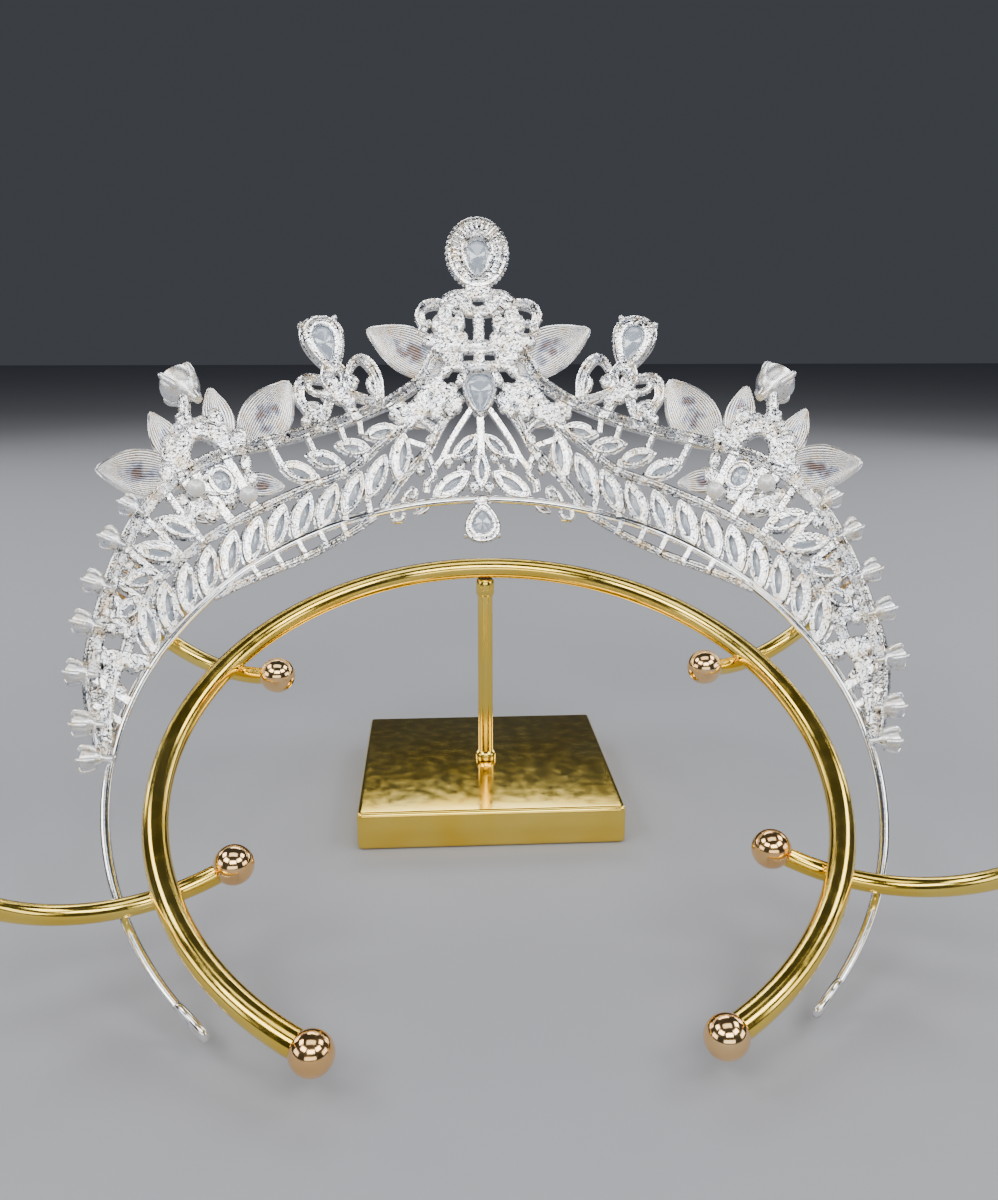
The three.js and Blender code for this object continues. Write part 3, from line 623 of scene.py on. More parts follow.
def bright_casting(name, pit_shade_share, roughness, peel):
    """The pit shade share is where in the noise the dark specks of painted pit shade end, from 0 to 1."""
    material, metal = new_finish(name)
    metal.inputs["Metallic"].default_value = 1.0
    place = add(material, "ShaderNodeTexCoord")
    pit_shade_noise = add(material, "ShaderNodeTexNoise", links={"Vector": (place, "Object")},
               Scale=1 / (PIT_SHADE_MM * MM), Detail=3.0, Roughness=0.65)
    tint = add(material, "ShaderNodeTexNoise", links={"Vector": (place, "Object")},
               Scale=1 / (TINT_MM * MM), Detail=2.0, Roughness=0.6)
    tone = add(material, "ShaderNodeValToRGB", links={"Fac": (tint, "Fac")},
               stops=((0.32, "#e3e8f0"), (0.45, "#ffffff"), (0.57, "#fdfaf5"), (0.7, "#f1e2cb")))
    # Painted shade: where the noise is low the colour turns dark, standing for the shade in the pits.
    painted_pit_shade = add(material, "ShaderNodeValToRGB", links={"Fac": (pit_shade_noise, "Fac")},
               stops=((pit_shade_share - PIT_SHADE_EDGE, "#3a383c"), (pit_shade_share, "#ffffff")))
    colour = add(material, "ShaderNodeMix", MULTIPLY, {MIX_A: (tone, "Color"), MIX_B: (painted_pit_shade, "Color")},
                 Factor=1.0)
    link(material, colour, MIX_RESULT, metal, "Base Color")
    low, high = roughness
    wear = add(material, "ShaderNodeMapRange", links={"Value": (tint, "Fac")},
               From_Min=0.3, From_Max=0.7, To_Min=low, To_Max=high)
    link(material, wear, "Result", metal, "Roughness")
    skin = add(material, "ShaderNodeTexNoise", links={"Vector": (place, "Object")},
               Scale=1 / (PEEL_MM * MM), Detail=1.0, Roughness=0.5)
    bump = add(material, "ShaderNodeBump", links={"Height": (skin, "Fac")},
               Strength=peel, Distance=PEEL_DEPTH_MM * MM)
    link(material, bump, "Normal", metal, "Normal")
    return material, metal, colour


rhodium_casting = bright_casting("rhodium_plated_casting", 0.44, (0.12, 0.2), 0.9)[0]
rhodium_wire = bright_casting("rhodium_plated_wire", 0.28, (0.1, 0.16), 0.12)[0]
rough_casting = bright_casting("rhodium_plated_rough_casting", 0.46, (0.2, 0.3), 0.9)[0]
tumbled_casting = bright_casting("rhodium_plated_tumbled_casting", 0.37, (0.3, 0.38), 0.5)[0]

# %% [markdown]
# ### Hollow leaf backs
#
# The same plating, but with painted shade in the fine furrows between a leaf's veins, and painted bluish
# and reddish reflections in its hollow. Each leaf carries two measures of its own for this: how deep a
# place lies in its furrow, and how near it is to the middle of the hollow. A pattern in space would cross
# the veins, so the finish reads these measures from the leaf itself.

# %% Ribbed leaf silver
# Size of the clouds of painted reflection in the leaf's hollow.
REFLECTION_CLOUD_MM = 3.2


def leaf_silver():
    material, metal, plating_and_painted_light = bright_casting("ribbed_leaf_silver", 0.34, (0.3, 0.4), 0.3)
    furrow = add(material, "ShaderNodeAttribute", {"attribute_name": "furrow"})
    # Painted shade: darker and browner deep in the furrows between the veins.
    painted_furrow_shade = add(material, "ShaderNodeValToRGB", links={"Fac": (furrow, "Fac")},
                stops=((0.0, "#ffffff"), (0.62, "#fbf8f4"), (0.84, "#8d8077"), (1.0, "#4a423d")))
    hollow = add(material, "ShaderNodeAttribute", {"attribute_name": "hollow"})
    place = add(material, "ShaderNodeTexCoord")
    cloud = add(material, "ShaderNodeTexNoise", links={"Vector": (place, "Object")},
                Scale=1 / (REFLECTION_CLOUD_MM * MM), Detail=2.0)
    # Painted reflections: bluish and reddish clouds towards the middle of the hollow, on the back only.
    painted_reflection_mask = add(material, "ShaderNodeMath", {"operation": "MULTIPLY"},
                {0: (hollow, "Fac"), 1: (cloud, "Fac")})
    tone = add(material, "ShaderNodeValToRGB", links={"Fac": (painted_reflection_mask, "Value")},
               stops=((0.36, "#ffffff"), (0.45, "#bcc6dc"), (0.56, "#a08f8c")))
    for layer in (painted_furrow_shade, tone):
        plating_and_painted_light = add(material, "ShaderNodeMix", MULTIPLY,
                      {MIX_A: (plating_and_painted_light, MIX_RESULT), MIX_B: (layer, "Color")}, Factor=1.0)
    link(material, plating_and_painted_light, MIX_RESULT, metal, "Base Color")
    return material


ribbed_leaf = leaf_silver()

# %% [markdown]
# ### Clear crystal
#
# Machine-cut glass crystals, left open at the back. Most of the light goes through and comes back from
# the facets, so a stone is brighter and paler than plain glass. Part of its light is given by a clear
# coat and a pale body, so it stays light on any background.

# %% Clear crystal
def clear_crystal():
    material, glass = new_finish("clear_cut_crystal")
    glass.inputs["Base Color"].default_value = linear("#dbe6f4")
    glass.inputs["Transmission Weight"].default_value = 0.45
    glass.inputs["Roughness"].default_value = 0.03
    glass.inputs["IOR"].default_value = 1.8
    glass.inputs["Specular IOR Level"].default_value = 0.9
    glass.inputs["Coat Weight"].default_value = 1.0
    glass.inputs["Coat Roughness"].default_value = 0.02
    return material


crystal = clear_crystal()

# %% [markdown]
# ### Pearl lacquer
#
# The beads are moulded acrylic with a pearl lacquer: white, with a soft gloss and a faint sheen of pink
# and green that changes slowly over the surface.

# %% Pearl lacquer
PEARL_CLOUD_MM = 2.5


def pearl_lacquer():
    material, body = new_finish("pearl_lacquer")
    place = add(material, "ShaderNodeTexCoord")
    cloud = add(material, "ShaderNodeTexNoise", links={"Vector": (place, "Object")},
                Scale=1 / (PEARL_CLOUD_MM * MM), Detail=1.0)
    tone = add(material, "ShaderNodeValToRGB", links={"Fac": (cloud, "Fac")},
               stops=((0.35, "#f7f1ee"), (0.5, "#fbf9f6"), (0.65, "#eef3f1")))
    link(material, tone, "Color", body, "Base Color")
    body.inputs["Metallic"].default_value = 0.4
    body.inputs["Roughness"].default_value = 0.36
    body.inputs["Coat Weight"].default_value = 0.9
    body.inputs["Coat Roughness"].default_value = 0.08
    body.inputs["Sheen Weight"].default_value = 0.3
    return material


pearl = pearl_lacquer()

# %% [markdown]
# ### Polished gilt
#
# The stand is steel tube and plate, polished and plated with brass and a clear lacquer. It is a mirror
# with very faint polishing waves along it and a slightly deeper yellow where the plating is thick. The
# balls are turned brass with a rosier plating.

# %% Polished gilt
THICKNESS_MM = 14
HAZE_MM = 3


def polished_gilt(name, thin, thick, roughness):
    material, metal = new_finish(name)
    metal.inputs["Metallic"].default_value = 1.0
    place = add(material, "ShaderNodeTexCoord")
    cloud = add(material, "ShaderNodeTexNoise", links={"Vector": (place, "Object")},
                Scale=1 / (THICKNESS_MM * MM), Detail=2.0)
    tone = add(material, "ShaderNodeValToRGB", links={"Fac": (cloud, "Fac")},
               stops=((0.3, thin), (0.7, thick)))
    link(material, tone, "Color", metal, "Base Color")
    haze = add(material, "ShaderNodeTexNoise", links={"Vector": (place, "Object")},
               Scale=1 / (HAZE_MM * MM), Detail=3.0)
    wear = add(material, "ShaderNodeMapRange", links={"Value": (haze, "Fac")},
               From_Min=0.35, From_Max=0.75, To_Min=roughness, To_Max=roughness * 2)
    link(material, wear, "Result", metal, "Roughness")
    metal.inputs["Coat Weight"].default_value = 0.3
    metal.inputs["Coat Roughness"].default_value = 0.05
    return material


gilt = polished_gilt("polished_gilt", "#f4cb42", "#fadc6c", 0.1)
rosy_gilt = polished_gilt("rosy_gilt", "#f5c07a", "#fbd59a", 0.08)

# %% [markdown]
# ## The headband
#
# Two drawn wires lie side by side, soldered, and are the edge that all of the openwork stands on. From the
# openwork's ends one wire runs on as a plain tail, and its end is folded back into a narrow eye for a
# ribbon or a hairpin. One sweep of a double section gives both wires and the solder groove between them.

# %% Headband, tails and eyes
BAND = {"width": 2.1, "height": 1.5, "w": 0.1, "end": 92, "spacing": 4, "step": 1.4}
TAIL = {"width": 2.0, "height": 1.7, "start": 90.0, "parts": 12, "step": 1.6, "swell": (0.9, 1.0, 0.8)}
EYE = {"reach": 3.6, "rise": 1.45, "wire": 1.5, "lap": 0.4, "sides": 28}


def headband():
    places = range(-BAND["end"], BAND["end"] + 1, BAND["spacing"])
    points = smooth_line([flat(phi, BAND["w"]) for phi in places], BAND["step"])
    pieces = [swept("band", points, BAND["width"], BAND["height"], "double")]
    length = WIRE_END - TAIL["start"]
    for side in SIDES:
        ends = [TAIL["start"] + length * k / TAIL["parts"] for k in range(TAIL["parts"] + 1)]
        points = smooth_line([flat(side * phi, 0) for phi in ends], TAIL["step"])
        pieces.append(swept("tail", points, TAIL["width"], TAIL["height"], "round", TAIL["swell"]))
        pieces.append(ribbon_eye(side))
    return solder("headband", pieces)


def ribbon_eye(side):
    """The eye stands upright on the head, so on the pattern it leans by the flare."""
    end = flat(side * WIRE_END, 0)
    turn = pattern_angle(side * WIRE_END)
    along = Vector((math.cos(turn), -math.sin(turn), 0)) * side
    up_slope = Vector((math.sin(turn), math.cos(turn), 0))
    upright = up_slope * math.cos(FLARE) + Vector((0, 0, math.sin(FLARE)))
    centre = end + along * (EYE["reach"] + EYE["wire"] / 2 - EYE["lap"])
    points = []
    for k in range(EYE["sides"]):
        angle = 2 * math.pi * k / EYE["sides"]
        outwards = along * EYE["reach"] * math.cos(angle)
        points.append(centre + outwards + upright * EYE["rise"] * math.sin(angle))
    return swept("eye", points, EYE["wire"], EYE["wire"], "round", closed=True)


cast(headband(), rhodium_wire)

# %% [markdown]
# ## Rails
#
# Grooved strips carry the two rows of cups: an upper rail that rises to the crown and falls to the band's
# end, a middle rail between the rows, and cross rails that run down to the band beside the centre. Each
# was a wax strip with two raised edges, and the groove stays matt while the edges shine.

# %% Rails of one half
RAILS = table(
    "name width height section phi w",
    ("upper rail", 3.1, 2.2, "grooved", (5.6, 6.8, 8.6, 11, 14, 20, 26, 38, 46, 54, 61, 70, 80, 91.5),
     (38.5, 35.5, 31, 28.4, 26.2, 24, 23.4, 25.2, 25.8, 23.6, 19.6, 14.2, 9, 1)),
    ("middle rail", 2.3, 2.0, "grooved", (12.4, 14.5, 17.5, 21, 25, 32, 45, 58, 66, 74),
     (20, 18, 15.4, 12.6, 11, 10.6, 10.6, 10.4, 8.6, 5.4)),
    ("cross rail", 2.5, 1.9, "grooved", (2.6, 5, 7, 8.6, 11, 14.5, 18.8),
     (26.5, 22, 17.5, 13.6, 10.4, 6.4, 1)),
    ("inner strut", 1.6, 1.5, "strip", (1.4, 3.2, 5.2, 6.6, 8.2), (23, 19, 14.6, 11, 8.4)),
    ("lower ladder", 2.0, 1.7, "grooved", (20.5, 26, 32, 38, 44, 50, 55),
     (-0.8, -2.9, -4.1, -4.2, -3.2, -1.8, -0.5)),
    ("centre branch", 3.0, 2.0, "grooved", (6, 8, 9.6, 11, 12.6), (29.5, 27.6, 25, 22, 19.2)),
    ("branch post", 2.1, 1.7, "strip", (12.4, 12.8, 13.8), (19.6, 22.5, 25.8)),
    ("second branch", 2.3, 1.8, "round", (7.2, 8.4, 10.4, 12.4), (17.2, 19.6, 22.4, 24.8)),
)


def rails():
    return solder("rails", [cast_wire(row, side) for row in RAILS for side in SIDES])


cast(rails(), rhodium_casting)

# %% [markdown]
# ## Struts and rungs
#
# Short bars tie the rows together where the wax was joined, and rungs cross the ladder under the band. They
# are thinner at the back than the rails, so they lie a little lower. A strip with broken edges is swept
# between two places, because on the rolled tiara even a straight bar follows the curve.

# %% Struts: phi and w of both ends, and the width
STRUTS = (
    (21.7, 18.3, 21.8, 23, 1.0), (21, 4.6, 21.3, 0.4, 1.2), (25.8, 2.3, 26.2, 0.4, 1.2),
    (26.9, 17.2, 27.1, 23, 1.0), (32.6, 17.2, 32.8, 24.2, 1.2), (23.5, 14.2, 23.5, 11.4, 1.4),
    (28.3, 12.8, 28.2, 10.8, 1.4), (39.8, 11, 39.6, 25, 2.0), (46.7, 25, 47, 17.5, 2.0),
    (12.4, 19.9, 13.7, 19.5, 1.2), (44.4, 11, 44.8, 25, 2.0), (50.4, 10.8, 50, 24.4, 1.4),
    (59.6, 10.2, 60.2, 19.8, 1.4), (69.8, 7.4, 69.8, 14, 1.4), (80.6, 0.4, 80, 8.6, 1.8),
    (19.8, 17.5, 19.2, 13.6, 1.1), (54.6, 10.6, 54.8, 23.4, 1.2), (64.6, 9, 65, 17, 1.2),
    (75.4, 5, 75.2, 11, 1.3), (84.6, 0.4, 84, 6.6, 1.3), (12.6, 16.6, 9, 14, 1.1),
    (3.3, 11.2, 6.4, 11, 1.0), (19, 19.7, 18.6, 24.4, 1.1),
)
RUNGS = ((27, -3), (31.5, -3.9), (36, -4.1), (41, -3.7), (46, -2.7))
RUNG_WIDTH = 1.4
CENTRE_BARS = ((0, 11.5, 0, 21.5, 2.2), (0, -1, 0, 0.6, 4.4))
STRUT = {"height": 1.8, "spread": 1.4, "lift": -0.1, "step": 2.0}


def strut(phi_a, w_a, phi_b, w_b, width):
    points = smooth_line([flat(phi_a, w_a, STRUT["lift"]), flat(phi_b, w_b, STRUT["lift"])], STRUT["step"])
    return swept("strut", points, width, STRUT["height"], "strip")


def struts():
    bars = [strut(*row) for row in CENTRE_BARS]
    for side in SIDES:
        bars += [strut(side * a, wa, side * b, wb, width * STRUT["spread"]) for a, wa, b, wb, width in STRUTS]
        bars += [strut(side * phi, 0, side * phi, reach, RUNG_WIDTH) for phi, reach in RUNGS]
    return solder("struts", bars)


cast(struts(), rhodium_casting)

# %% [markdown]
# ## Rows of cups and their stones
#
# The setter buys stones of a few sizes and solders one cup for each. Here too one cup and one stone are
# modelled for each size, and copied to their places on both sides. The openings lie off the middle, so a
# size that stands on both sides has a left and a right cup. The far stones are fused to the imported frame.

# %% Cups and stones of the rows
def marquise_work():
    cups, stones, rows = [], {}, []
    for phi, w, turn in lower_places():
        rows.append(({**LOWER_ROW, "phi": phi, "w": w, "turn": turn}, "lower_row_stones_{}"))
    for i, row in enumerate(UPPER_ROW):
        rows.append((row, f"rail_marquise_{{}}_{i + 1}" if i < LOOSE_UPPER else "upper_row_stones_{}"))
    masters = {}
    for row, key in rows:
        size = row["length"], row["width"]
        for side in SIDES:
            open_side = side if row["turn"] > 0 else -side
            if (size, open_side) not in masters:
                masters[size, open_side] = marquise_cup(*size, open_side), marquise_stone("stone", *size)
            cup, stone = masters[size, open_side]
            place = on_pattern(side * row["phi"], row["w"], row["turn"])
            cups.append(copy_at(cup, place))
            stones.setdefault(key.format(SIDE_NAME[side]), []).append(copy_at(stone, place))
    for master in masters.values():
        put_away(*master)
    return cups, stones


cups, row_stones = marquise_work()
cast(solder("marquise_cups", cups), rhodium_casting, 30)
for name, stones in row_stones.items():
    lay_stone(solder(name + "_cut", stones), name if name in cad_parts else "tiara_frame")

# %% [markdown]
# ## Fern under the centre
#
# Five open cups fan out between the cross rails, as leaves on a stem. They are the same cups in other sizes,
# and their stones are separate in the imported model, so each keeps its own piece.

# %% Fern cups and stones
def fern_work():
    cups = []
    for row in FERN:
        size = row["length"], row["width"]
        cup, stone = marquise_cup(*size), marquise_stone("stone", *size)
        for name, side in sided(row["name"], row["phi"]):
            place = on_pattern(side * row["phi"], row["w"], row["turn"])
            cups.append(copy_at(cup, place))
            lay_stone(copy_at(stone, place, name + "_cut"), name)
        put_away(cup, stone)
    return solder("fern_cups", cups)


cast(fern_work(), rhodium_casting, 30)

# %% [markdown]
# ## Pear and oval settings
#
# A pear setting has a collar round a smaller inner cup, with a dark gap between them, and a smooth plate
# round the stone's opening. Claws bend over the stone at the broad end, and their backs show as small
# corners.

# %% Pear and oval settings
PEAR = {"phi": 20.4, "w": 43.6, "turn": -1}
PEAR_CUP = (
    (14.0, 9.5, -2.2), (15.0, 10.3, -1.7), (15.0, 10.3, -0.5), (14.2, 9.6, -0.3), (13.8, 9.1, 0.1),
    (13.9, 9.3, 0.9), (13.4, 8.8, 1.35), (12.6, 8.1, 1.35), (12.0, 7.6, 0.8), (10.2, 6.0, 1.0),
    (9.2, 5.1, 0.8), (9.0, 4.9, 0.3), (11.2, 6.8, -0.1), (12.2, 7.7, -2.2),
)
CENTRE_STONE = {"phi": 0.0, "w": 27.2, "turn": 0}
CENTRE_CUP = (
    (12.8, 7.8, -1.8), (13.4, 8.4, -1.2), (13.4, 8.4, 0.6), (12.7, 7.9, 1.2), (11.6, 7.4, 1.4),
    (10.4, 7.0, 1.2), (9.6, 6.6, 0.8), (9.4, 6.4, 0.3), (10.2, 7.0, -0.2), (11.6, 7.2, -1.8),
)
BOTTOM_DROP = {"phi": 0.0, "w": -5.6, "turn": 180}
BOTTOM_CUP = (
    (9.6, 7.8, -1.6), (10.2, 8.4, -1.1), (10.2, 8.4, 0.6), (9.6, 7.8, 1.1), (8.9, 7.1, 1.1), (8.4, 6.6, 0.6),
    (7.2, 5.9, 0.7), (6.0, 5.0, 0.6), (5.8, 4.8, 0.1), (6.8, 5.8, -0.2), (8.0, 6.6, -1.6),
)
OVAL = {"phi": 42.0, "w": 20.2, "turn": 6}
OVAL_CUP = (
    (7.2, 6.2, -1.2), (7.8, 6.8, -0.7), (7.8, 6.8, 0.9), (7.3, 6.3, 1.3), (6.7, 5.7, 1.3), (6.2, 5.2, 0.8),
    (5.2, 4.2, 0.8), (5.0, 4.0, 0.2), (6.0, 5.0, -0.2), (6.4, 5.4, -1.2),
)
# A cut is a stone's length, width, crown and depth; claws are the angles where they bend over it
SETTINGS = table(
    "place shape rows stone cut claws claw_size",
    (PEAR, "pear", PEAR_CUP, "pear_stone", (11.0, 6.7, 1.3, 1.3), (50, 130), 1.5),
    (CENTRE_STONE, "pear", CENTRE_CUP, "centre_stone", (10.4, 7.2, 1.2, 1.5), (), 1.0),
    (BOTTOM_DROP, "pear", BOTTOM_CUP, "bottom_stone", (7.2, 6.0, 1.1, 1.2), (40, 140), 1.3),
    (OVAL, "oval", OVAL_CUP, "oval_stone", (6.0, 5.0, 1.0, 1.1), (), 1.0),
)
CLAW_LIFTS = (-1.4, -0.7, 0.0)
SETTING_SIDES = 36
SETTING_GIRDLE = -0.35


def claw_corners(setting):
    length, width, _ = setting["rows"][1]
    places = [outline_point(setting["shape"], math.radians(turn), length, width) for turn in setting["claws"]]
    return [Vector((x, y, lift)) for x, y in places for lift in CLAW_LIFTS]


def setting_work():
    pieces = []
    for setting in SETTINGS:
        place, shape = setting["place"], setting["shape"]
        length, width, crown, depth = setting["cut"]
        stone = cut_stone("stone", shape, length, width, SETTING_GIRDLE, crown, depth, STONE["fine_sides"])
        cup = raise_work("setting", shape, setting["rows"], SETTING_SIDES)
        cup = solder("setting", [cup, *grains_along(claw_corners(setting), setting["claw_size"], 2)])
        for name, side in sided(setting["stone"], place["phi"]):
            seat = on_pattern(side * place["phi"], place["w"], place["turn"])
            pieces.append(copy_at(cup, seat))
            lay_stone(copy_at(stone, seat, name + "_cut"), name)
        put_away(cup, stone)
    return solder("settings", pieces)


cast(setting_work(), rhodium_casting, 35)

# %% [markdown]
# ## The top drop
#
# A wide oval halo stands round a pear cup. Its face carries a row of small stones, and their settings
# show from behind as teeth along the edge. The back is hollow between the rim and the cup, bridged by
# thin ribs.

# %% Halo with ribs, teeth and pear cup
TOP_DROP = {"phi": 0.0, "w": 63.3}
HALO_RIM = (
    (17.6, 14.6, -1.0), (18.6, 15.6, -0.6), (18.6, 15.6, 0.6), (18.0, 15.0, 1.0), (16.6, 13.6, 1.05),
    (15.8, 12.8, 0.5), (15.2, 12.2, 0.0), (12.2, 9.2, 0.1), (11.4, 8.4, -0.9),
)
HALO_CUP = (
    (12.6, 8.4, -1.6), (12.8, 8.6, 0.2), (12.4, 8.2, 1.0), (11.8, 7.6, 1.4), (11.0, 6.9, 1.3),
    (10.0, 6.0, 0.9), (9.4, 5.4, 0.7), (9.2, 5.2, 0.2), (10.6, 6.6, -0.2), (11.4, 7.2, -1.6),
)
HALO_CUP_DROP = -1.4
HALO_SIDES = 48
RIB = {"count": 26, "inner": (12.0, 8.4, 0.45), "outer": (16.4, 13.4, 0.55), "width": 0.55, "height": 1.1}
TOOTH = {"count": 40, "edge": (18.2, 15.2, -0.5), "diameter": 1.25}
TOP_CUT = {"length": 10.6, "width": 6.6, "girdle": -0.3, "crown": 1.3, "depth": 1.6}


def oval_place(angle, length, width, lift):
    return Vector((*outline_point("oval", angle, length, width), lift))


def halo_ribs():
    ribs = []
    for k in range(RIB["count"]):
        angle = 2 * math.pi * (k + HALF_STEP) / RIB["count"]
        inner, outer = oval_place(angle, *RIB["inner"]), oval_place(angle, *RIB["outer"])
        line = [inner, inner.lerp(outer, 0.5), outer]
        ribs.append(swept("rib", line, RIB["width"], RIB["height"], "strip"))
    return ribs


def halo_teeth():
    edge = [oval_place(2 * math.pi * k / TOOTH["count"], *TOOTH["edge"]) for k in range(TOOTH["count"])]
    return grains_along(edge, TOOTH["diameter"], 2)


def halo_drop():
    seat = on_pattern(TOP_DROP["phi"], TOP_DROP["w"])
    lower = on_pattern(TOP_DROP["phi"], TOP_DROP["w"] + HALO_CUP_DROP)
    rim = raise_work("halo", "oval", HALO_RIM, HALO_SIDES)
    cup = raise_work("top_cup", "pear", HALO_CUP, SETTING_SIDES)
    cup.data.transform(lower)
    on_rim = [rim, *halo_ribs(), *halo_teeth()]
    for piece in on_rim:
        piece.data.transform(seat)
    stone = cut_stone("top_stone_cut", "pear", **TOP_CUT, sides=STONE["fine_sides"])
    stone.data.transform(lower)
    lay_stone(stone, "top_stone")
    return solder("halo_drop", [rim, cup, *on_rim[1:]])


cast(halo_drop(), rhodium_casting, 35)

# %% [markdown]
# ## Scrolls and stems
#
# Crooks curl to both sides of each pear and beside the crown. They are grooved strips that thin towards
# the end and close with a small knob, as cast scrolls do.

# %% Scrolls of one half
SCROLLS = table(
    "name width height phi w section swell knob",
    ("inner crook", 2.3, 1.9, (19.6, 18.4, 17.4, 16.3, 15.4, 14.8, 14.6, 15),
     (34.6, 35.6, 37.6, 38.2, 36.7, 34.2, 31.4, 26.4), "grooved", (0.8, 1.2, 0.9)),
    ("outer crook", 2.3, 1.9, (20.8, 22.2, 23.4, 24.6, 25.6, 26.1, 25.8, 25.4),
     (34.2, 34.8, 35.7, 36, 34.4, 31.6, 29.2, 26.4), "grooved", (0.8, 1.2, 0.9)),
    ("inner hook", 1.8, 1.4, (19, 18.5, 18.1, 17.8), (34.9, 34.4, 33.8, 33), "round", None, 2.3),
    ("inner drop", 1.6, 1.2, (15, 15.7, 16, 15.8, 15.2), (33.6, 32.6, 31, 29.6, 28.6)),
    ("outer hook", 2.0, 1.4, (23.8, 24.4, 24.2, 23.6, 22.8), (35.4, 34.2, 33, 32, 31.6), "round", None, 2.0),
    ("foot swirl", 1.7, 1.3, (25.9, 25.2, 24.2, 23.6, 23.8), (29.4, 29.8, 29.4, 28.2, 27)),
    ("pear stem inner", 2.4, 1.6, (19.8, 19, 19.6, 19.2, 17.7, 16.3, 14.8),
     (38, 34.8, 32.2, 30.4, 28.6, 27.5, 26.6), "grooved"),
    ("pear stem outer", 2.4, 1.6, (21, 21.8, 21.4, 22, 22.9, 23.9, 24.9),
     (38, 34.8, 32.4, 29.8, 27.4, 25.2, 22.9), "grooved"),
    ("pear post", 2.6, 1.5, (20.4, 20.2, 19.6, 19), (32.6, 30, 27.4, 23.6), "strip"),
    ("crown crook", 2.5, 1.7, (1.6, 2.8, 4, 5.4, 6.8, 7.5, 7.5, 7.2, 7.8),
     (50.4, 50.2, 49.8, 50.2, 49.7, 48, 46, 44.6, 42.4), "grooved", (0.9, 1.1, 0.9)),
    ("crown hook", 1.8, 1.4, (7.4, 7, 6.5), (45.4, 45, 45.2), "round", None, 2.2),
    ("crown shoulder", 2.1, 1.7, (1.6, 3, 4, 4.6), (53, 52.6, 51.6, 50.4)),
    ("eyelet", 1.3, 1.3, (2.7, 3.4, 3.4, 2.7, 2, 2, 2.7), (50.2, 49.6, 48.4, 47.8, 48.4, 49.6, 50.2)),
    ("heart", 1.6, 1.5, (0, 0.9, 1.7, 2.1, 2.1), (48.6, 49.2, 50.2, 51.4, 52.4)),
    ("base curl", 1.9, 1.3, (10.2, 9.6, 8.6, 8.4, 9.2), (2.6, 5.4, 6.2, 8.2, 12.6)),
    ("base hook", 1.7, 1.2, (15, 13.6, 12.4, 12.2, 13.2), (1, 3.4, 4, 2.4, 1.8), "round", None, 1.5),
    ("hanging hook", 1.6, 1.3, (17.2, 17.6, 16.8, 15.6, 15.2), (-0.5, -2.4, -3, -2.9, -1.8), "round",
     None, 1.6),
)


def scroll_work():
    pieces = []
    for row in SCROLLS:
        for side in SIDES:
            pieces.append(cast_wire(row, side))
            if "knob" in row:
                pieces += grains_along([flat(side * row["phi"][-1], row["w"][-1])], row["knob"], 2)
    return solder("scrolls", pieces)


cast(scroll_work(), rhodium_casting)

# %% [markdown]
# ## Leaves
#
# The leaves are thin and hollow behind, with fine veins from the root to the tip, cut in the wax with a
# comb. Each starts as a grid with six columns to a vein, so the veins are real ridges of the mesh. It is set
# to the leaf's outline, dished, and then given its thickness on the front.

# %% Leaves of one half
LEAVES = table(
    "base tip width veins",
    ((4.4, 33.4), (14.6, 45.4), 11.8, 20),
    ((35.8, 24.8), (26.6, 36.6), 11.4, 20),
    ((38.4, 28), (36.6, 41), 7.0, 11),
    ((45.6, 28), (44.9, 41.4), 7.0, 11),
    ((46.6, 25.6), (55.2, 36.7), 11.2, 20),
    ((39.6, 18), (33.6, 13), 5.6, 9),
    ((44.6, 14), (49.8, 19), 5.6, 9),
    ((11.5, 21.8), (7.2, 19), 3.0, 5),
    ((10.2, -0.3), (13.2, -2.2), 2.2, 3),
)
# The last entry of LEAF is how much of the painted shade in the furrows stays on the leaf's front.
LEAF = {"dish": 0.11, "edge": 0.35, "vein": 0.045, "thick": 0.7, "rows": 24, "columns_per_vein": 6,
        "root": 0.2, "belly": 0.95, "fullness": 0.85, "closed_at": 0.999, "front_furrow_shade": 0.55}
WANDER = {"along": 9, "across": 5}


def leaf_share(t):
    """Half width along the leaf, as a share of its greatest."""
    if t >= LEAF["closed_at"]:
        return 0.0
    root = LEAF["root"] * (1 - t) ** 2
    return root + LEAF["belly"] * math.sin(math.pi * min(t, 1) ** LEAF["fullness"]) ** LEAF["fullness"]


def leaf_skin(row, side):
    """The hollow face, with two measures on it that its finish reads: furrow, for painted shade, and hollow,
    for painted reflections.
    """
    base, tip = flat(side * row["base"][0], row["base"][1]), flat(side * row["tip"][0], row["tip"][1])
    along = tip - base
    across = Vector((-along.y, along.x, 0)).normalized()
    deselect()
    columns = row["veins"] * LEAF["columns_per_vein"]
    bpy.ops.mesh.primitive_grid_add(x_subdivisions=columns, y_subdivisions=LEAF["rows"], size=2)
    piece = bpy.context.object
    piece.name = "leaf"
    furrow = piece.data.attributes.new("furrow", "FLOAT", "POINT")
    hollow = piece.data.attributes.new("hollow", "FLOAT", "POINT")
    for vertex in piece.data.vertices:
        u, t = vertex.co.x, (vertex.co.y + 1) / 2
        share = leaf_share(t)
        wander = math.sin(WANDER["along"] * t + WANDER["across"] * u)
        wave = math.cos(row["veins"] * math.pi * u + wander)
        furrow.data[vertex.index].value = 0.5 - 0.5 * wave
        hollow.data[vertex.index].value = math.sin(math.pi * t) * (1 - u * u)
        bow = -row["width"] * LEAF["dish"] * (1 - u * u) * share
        vein = LEAF["vein"] * wave * share
        vertex.co = base + along * t + across * (u * share * row["width"] / 2)
        vertex.co.z = LEAF["edge"] + bow + vein
    clean(piece)
    if sum(face.normal.z for face in piece.data.polygons) < 0:
        piece.data.flip_normals()
    return piece


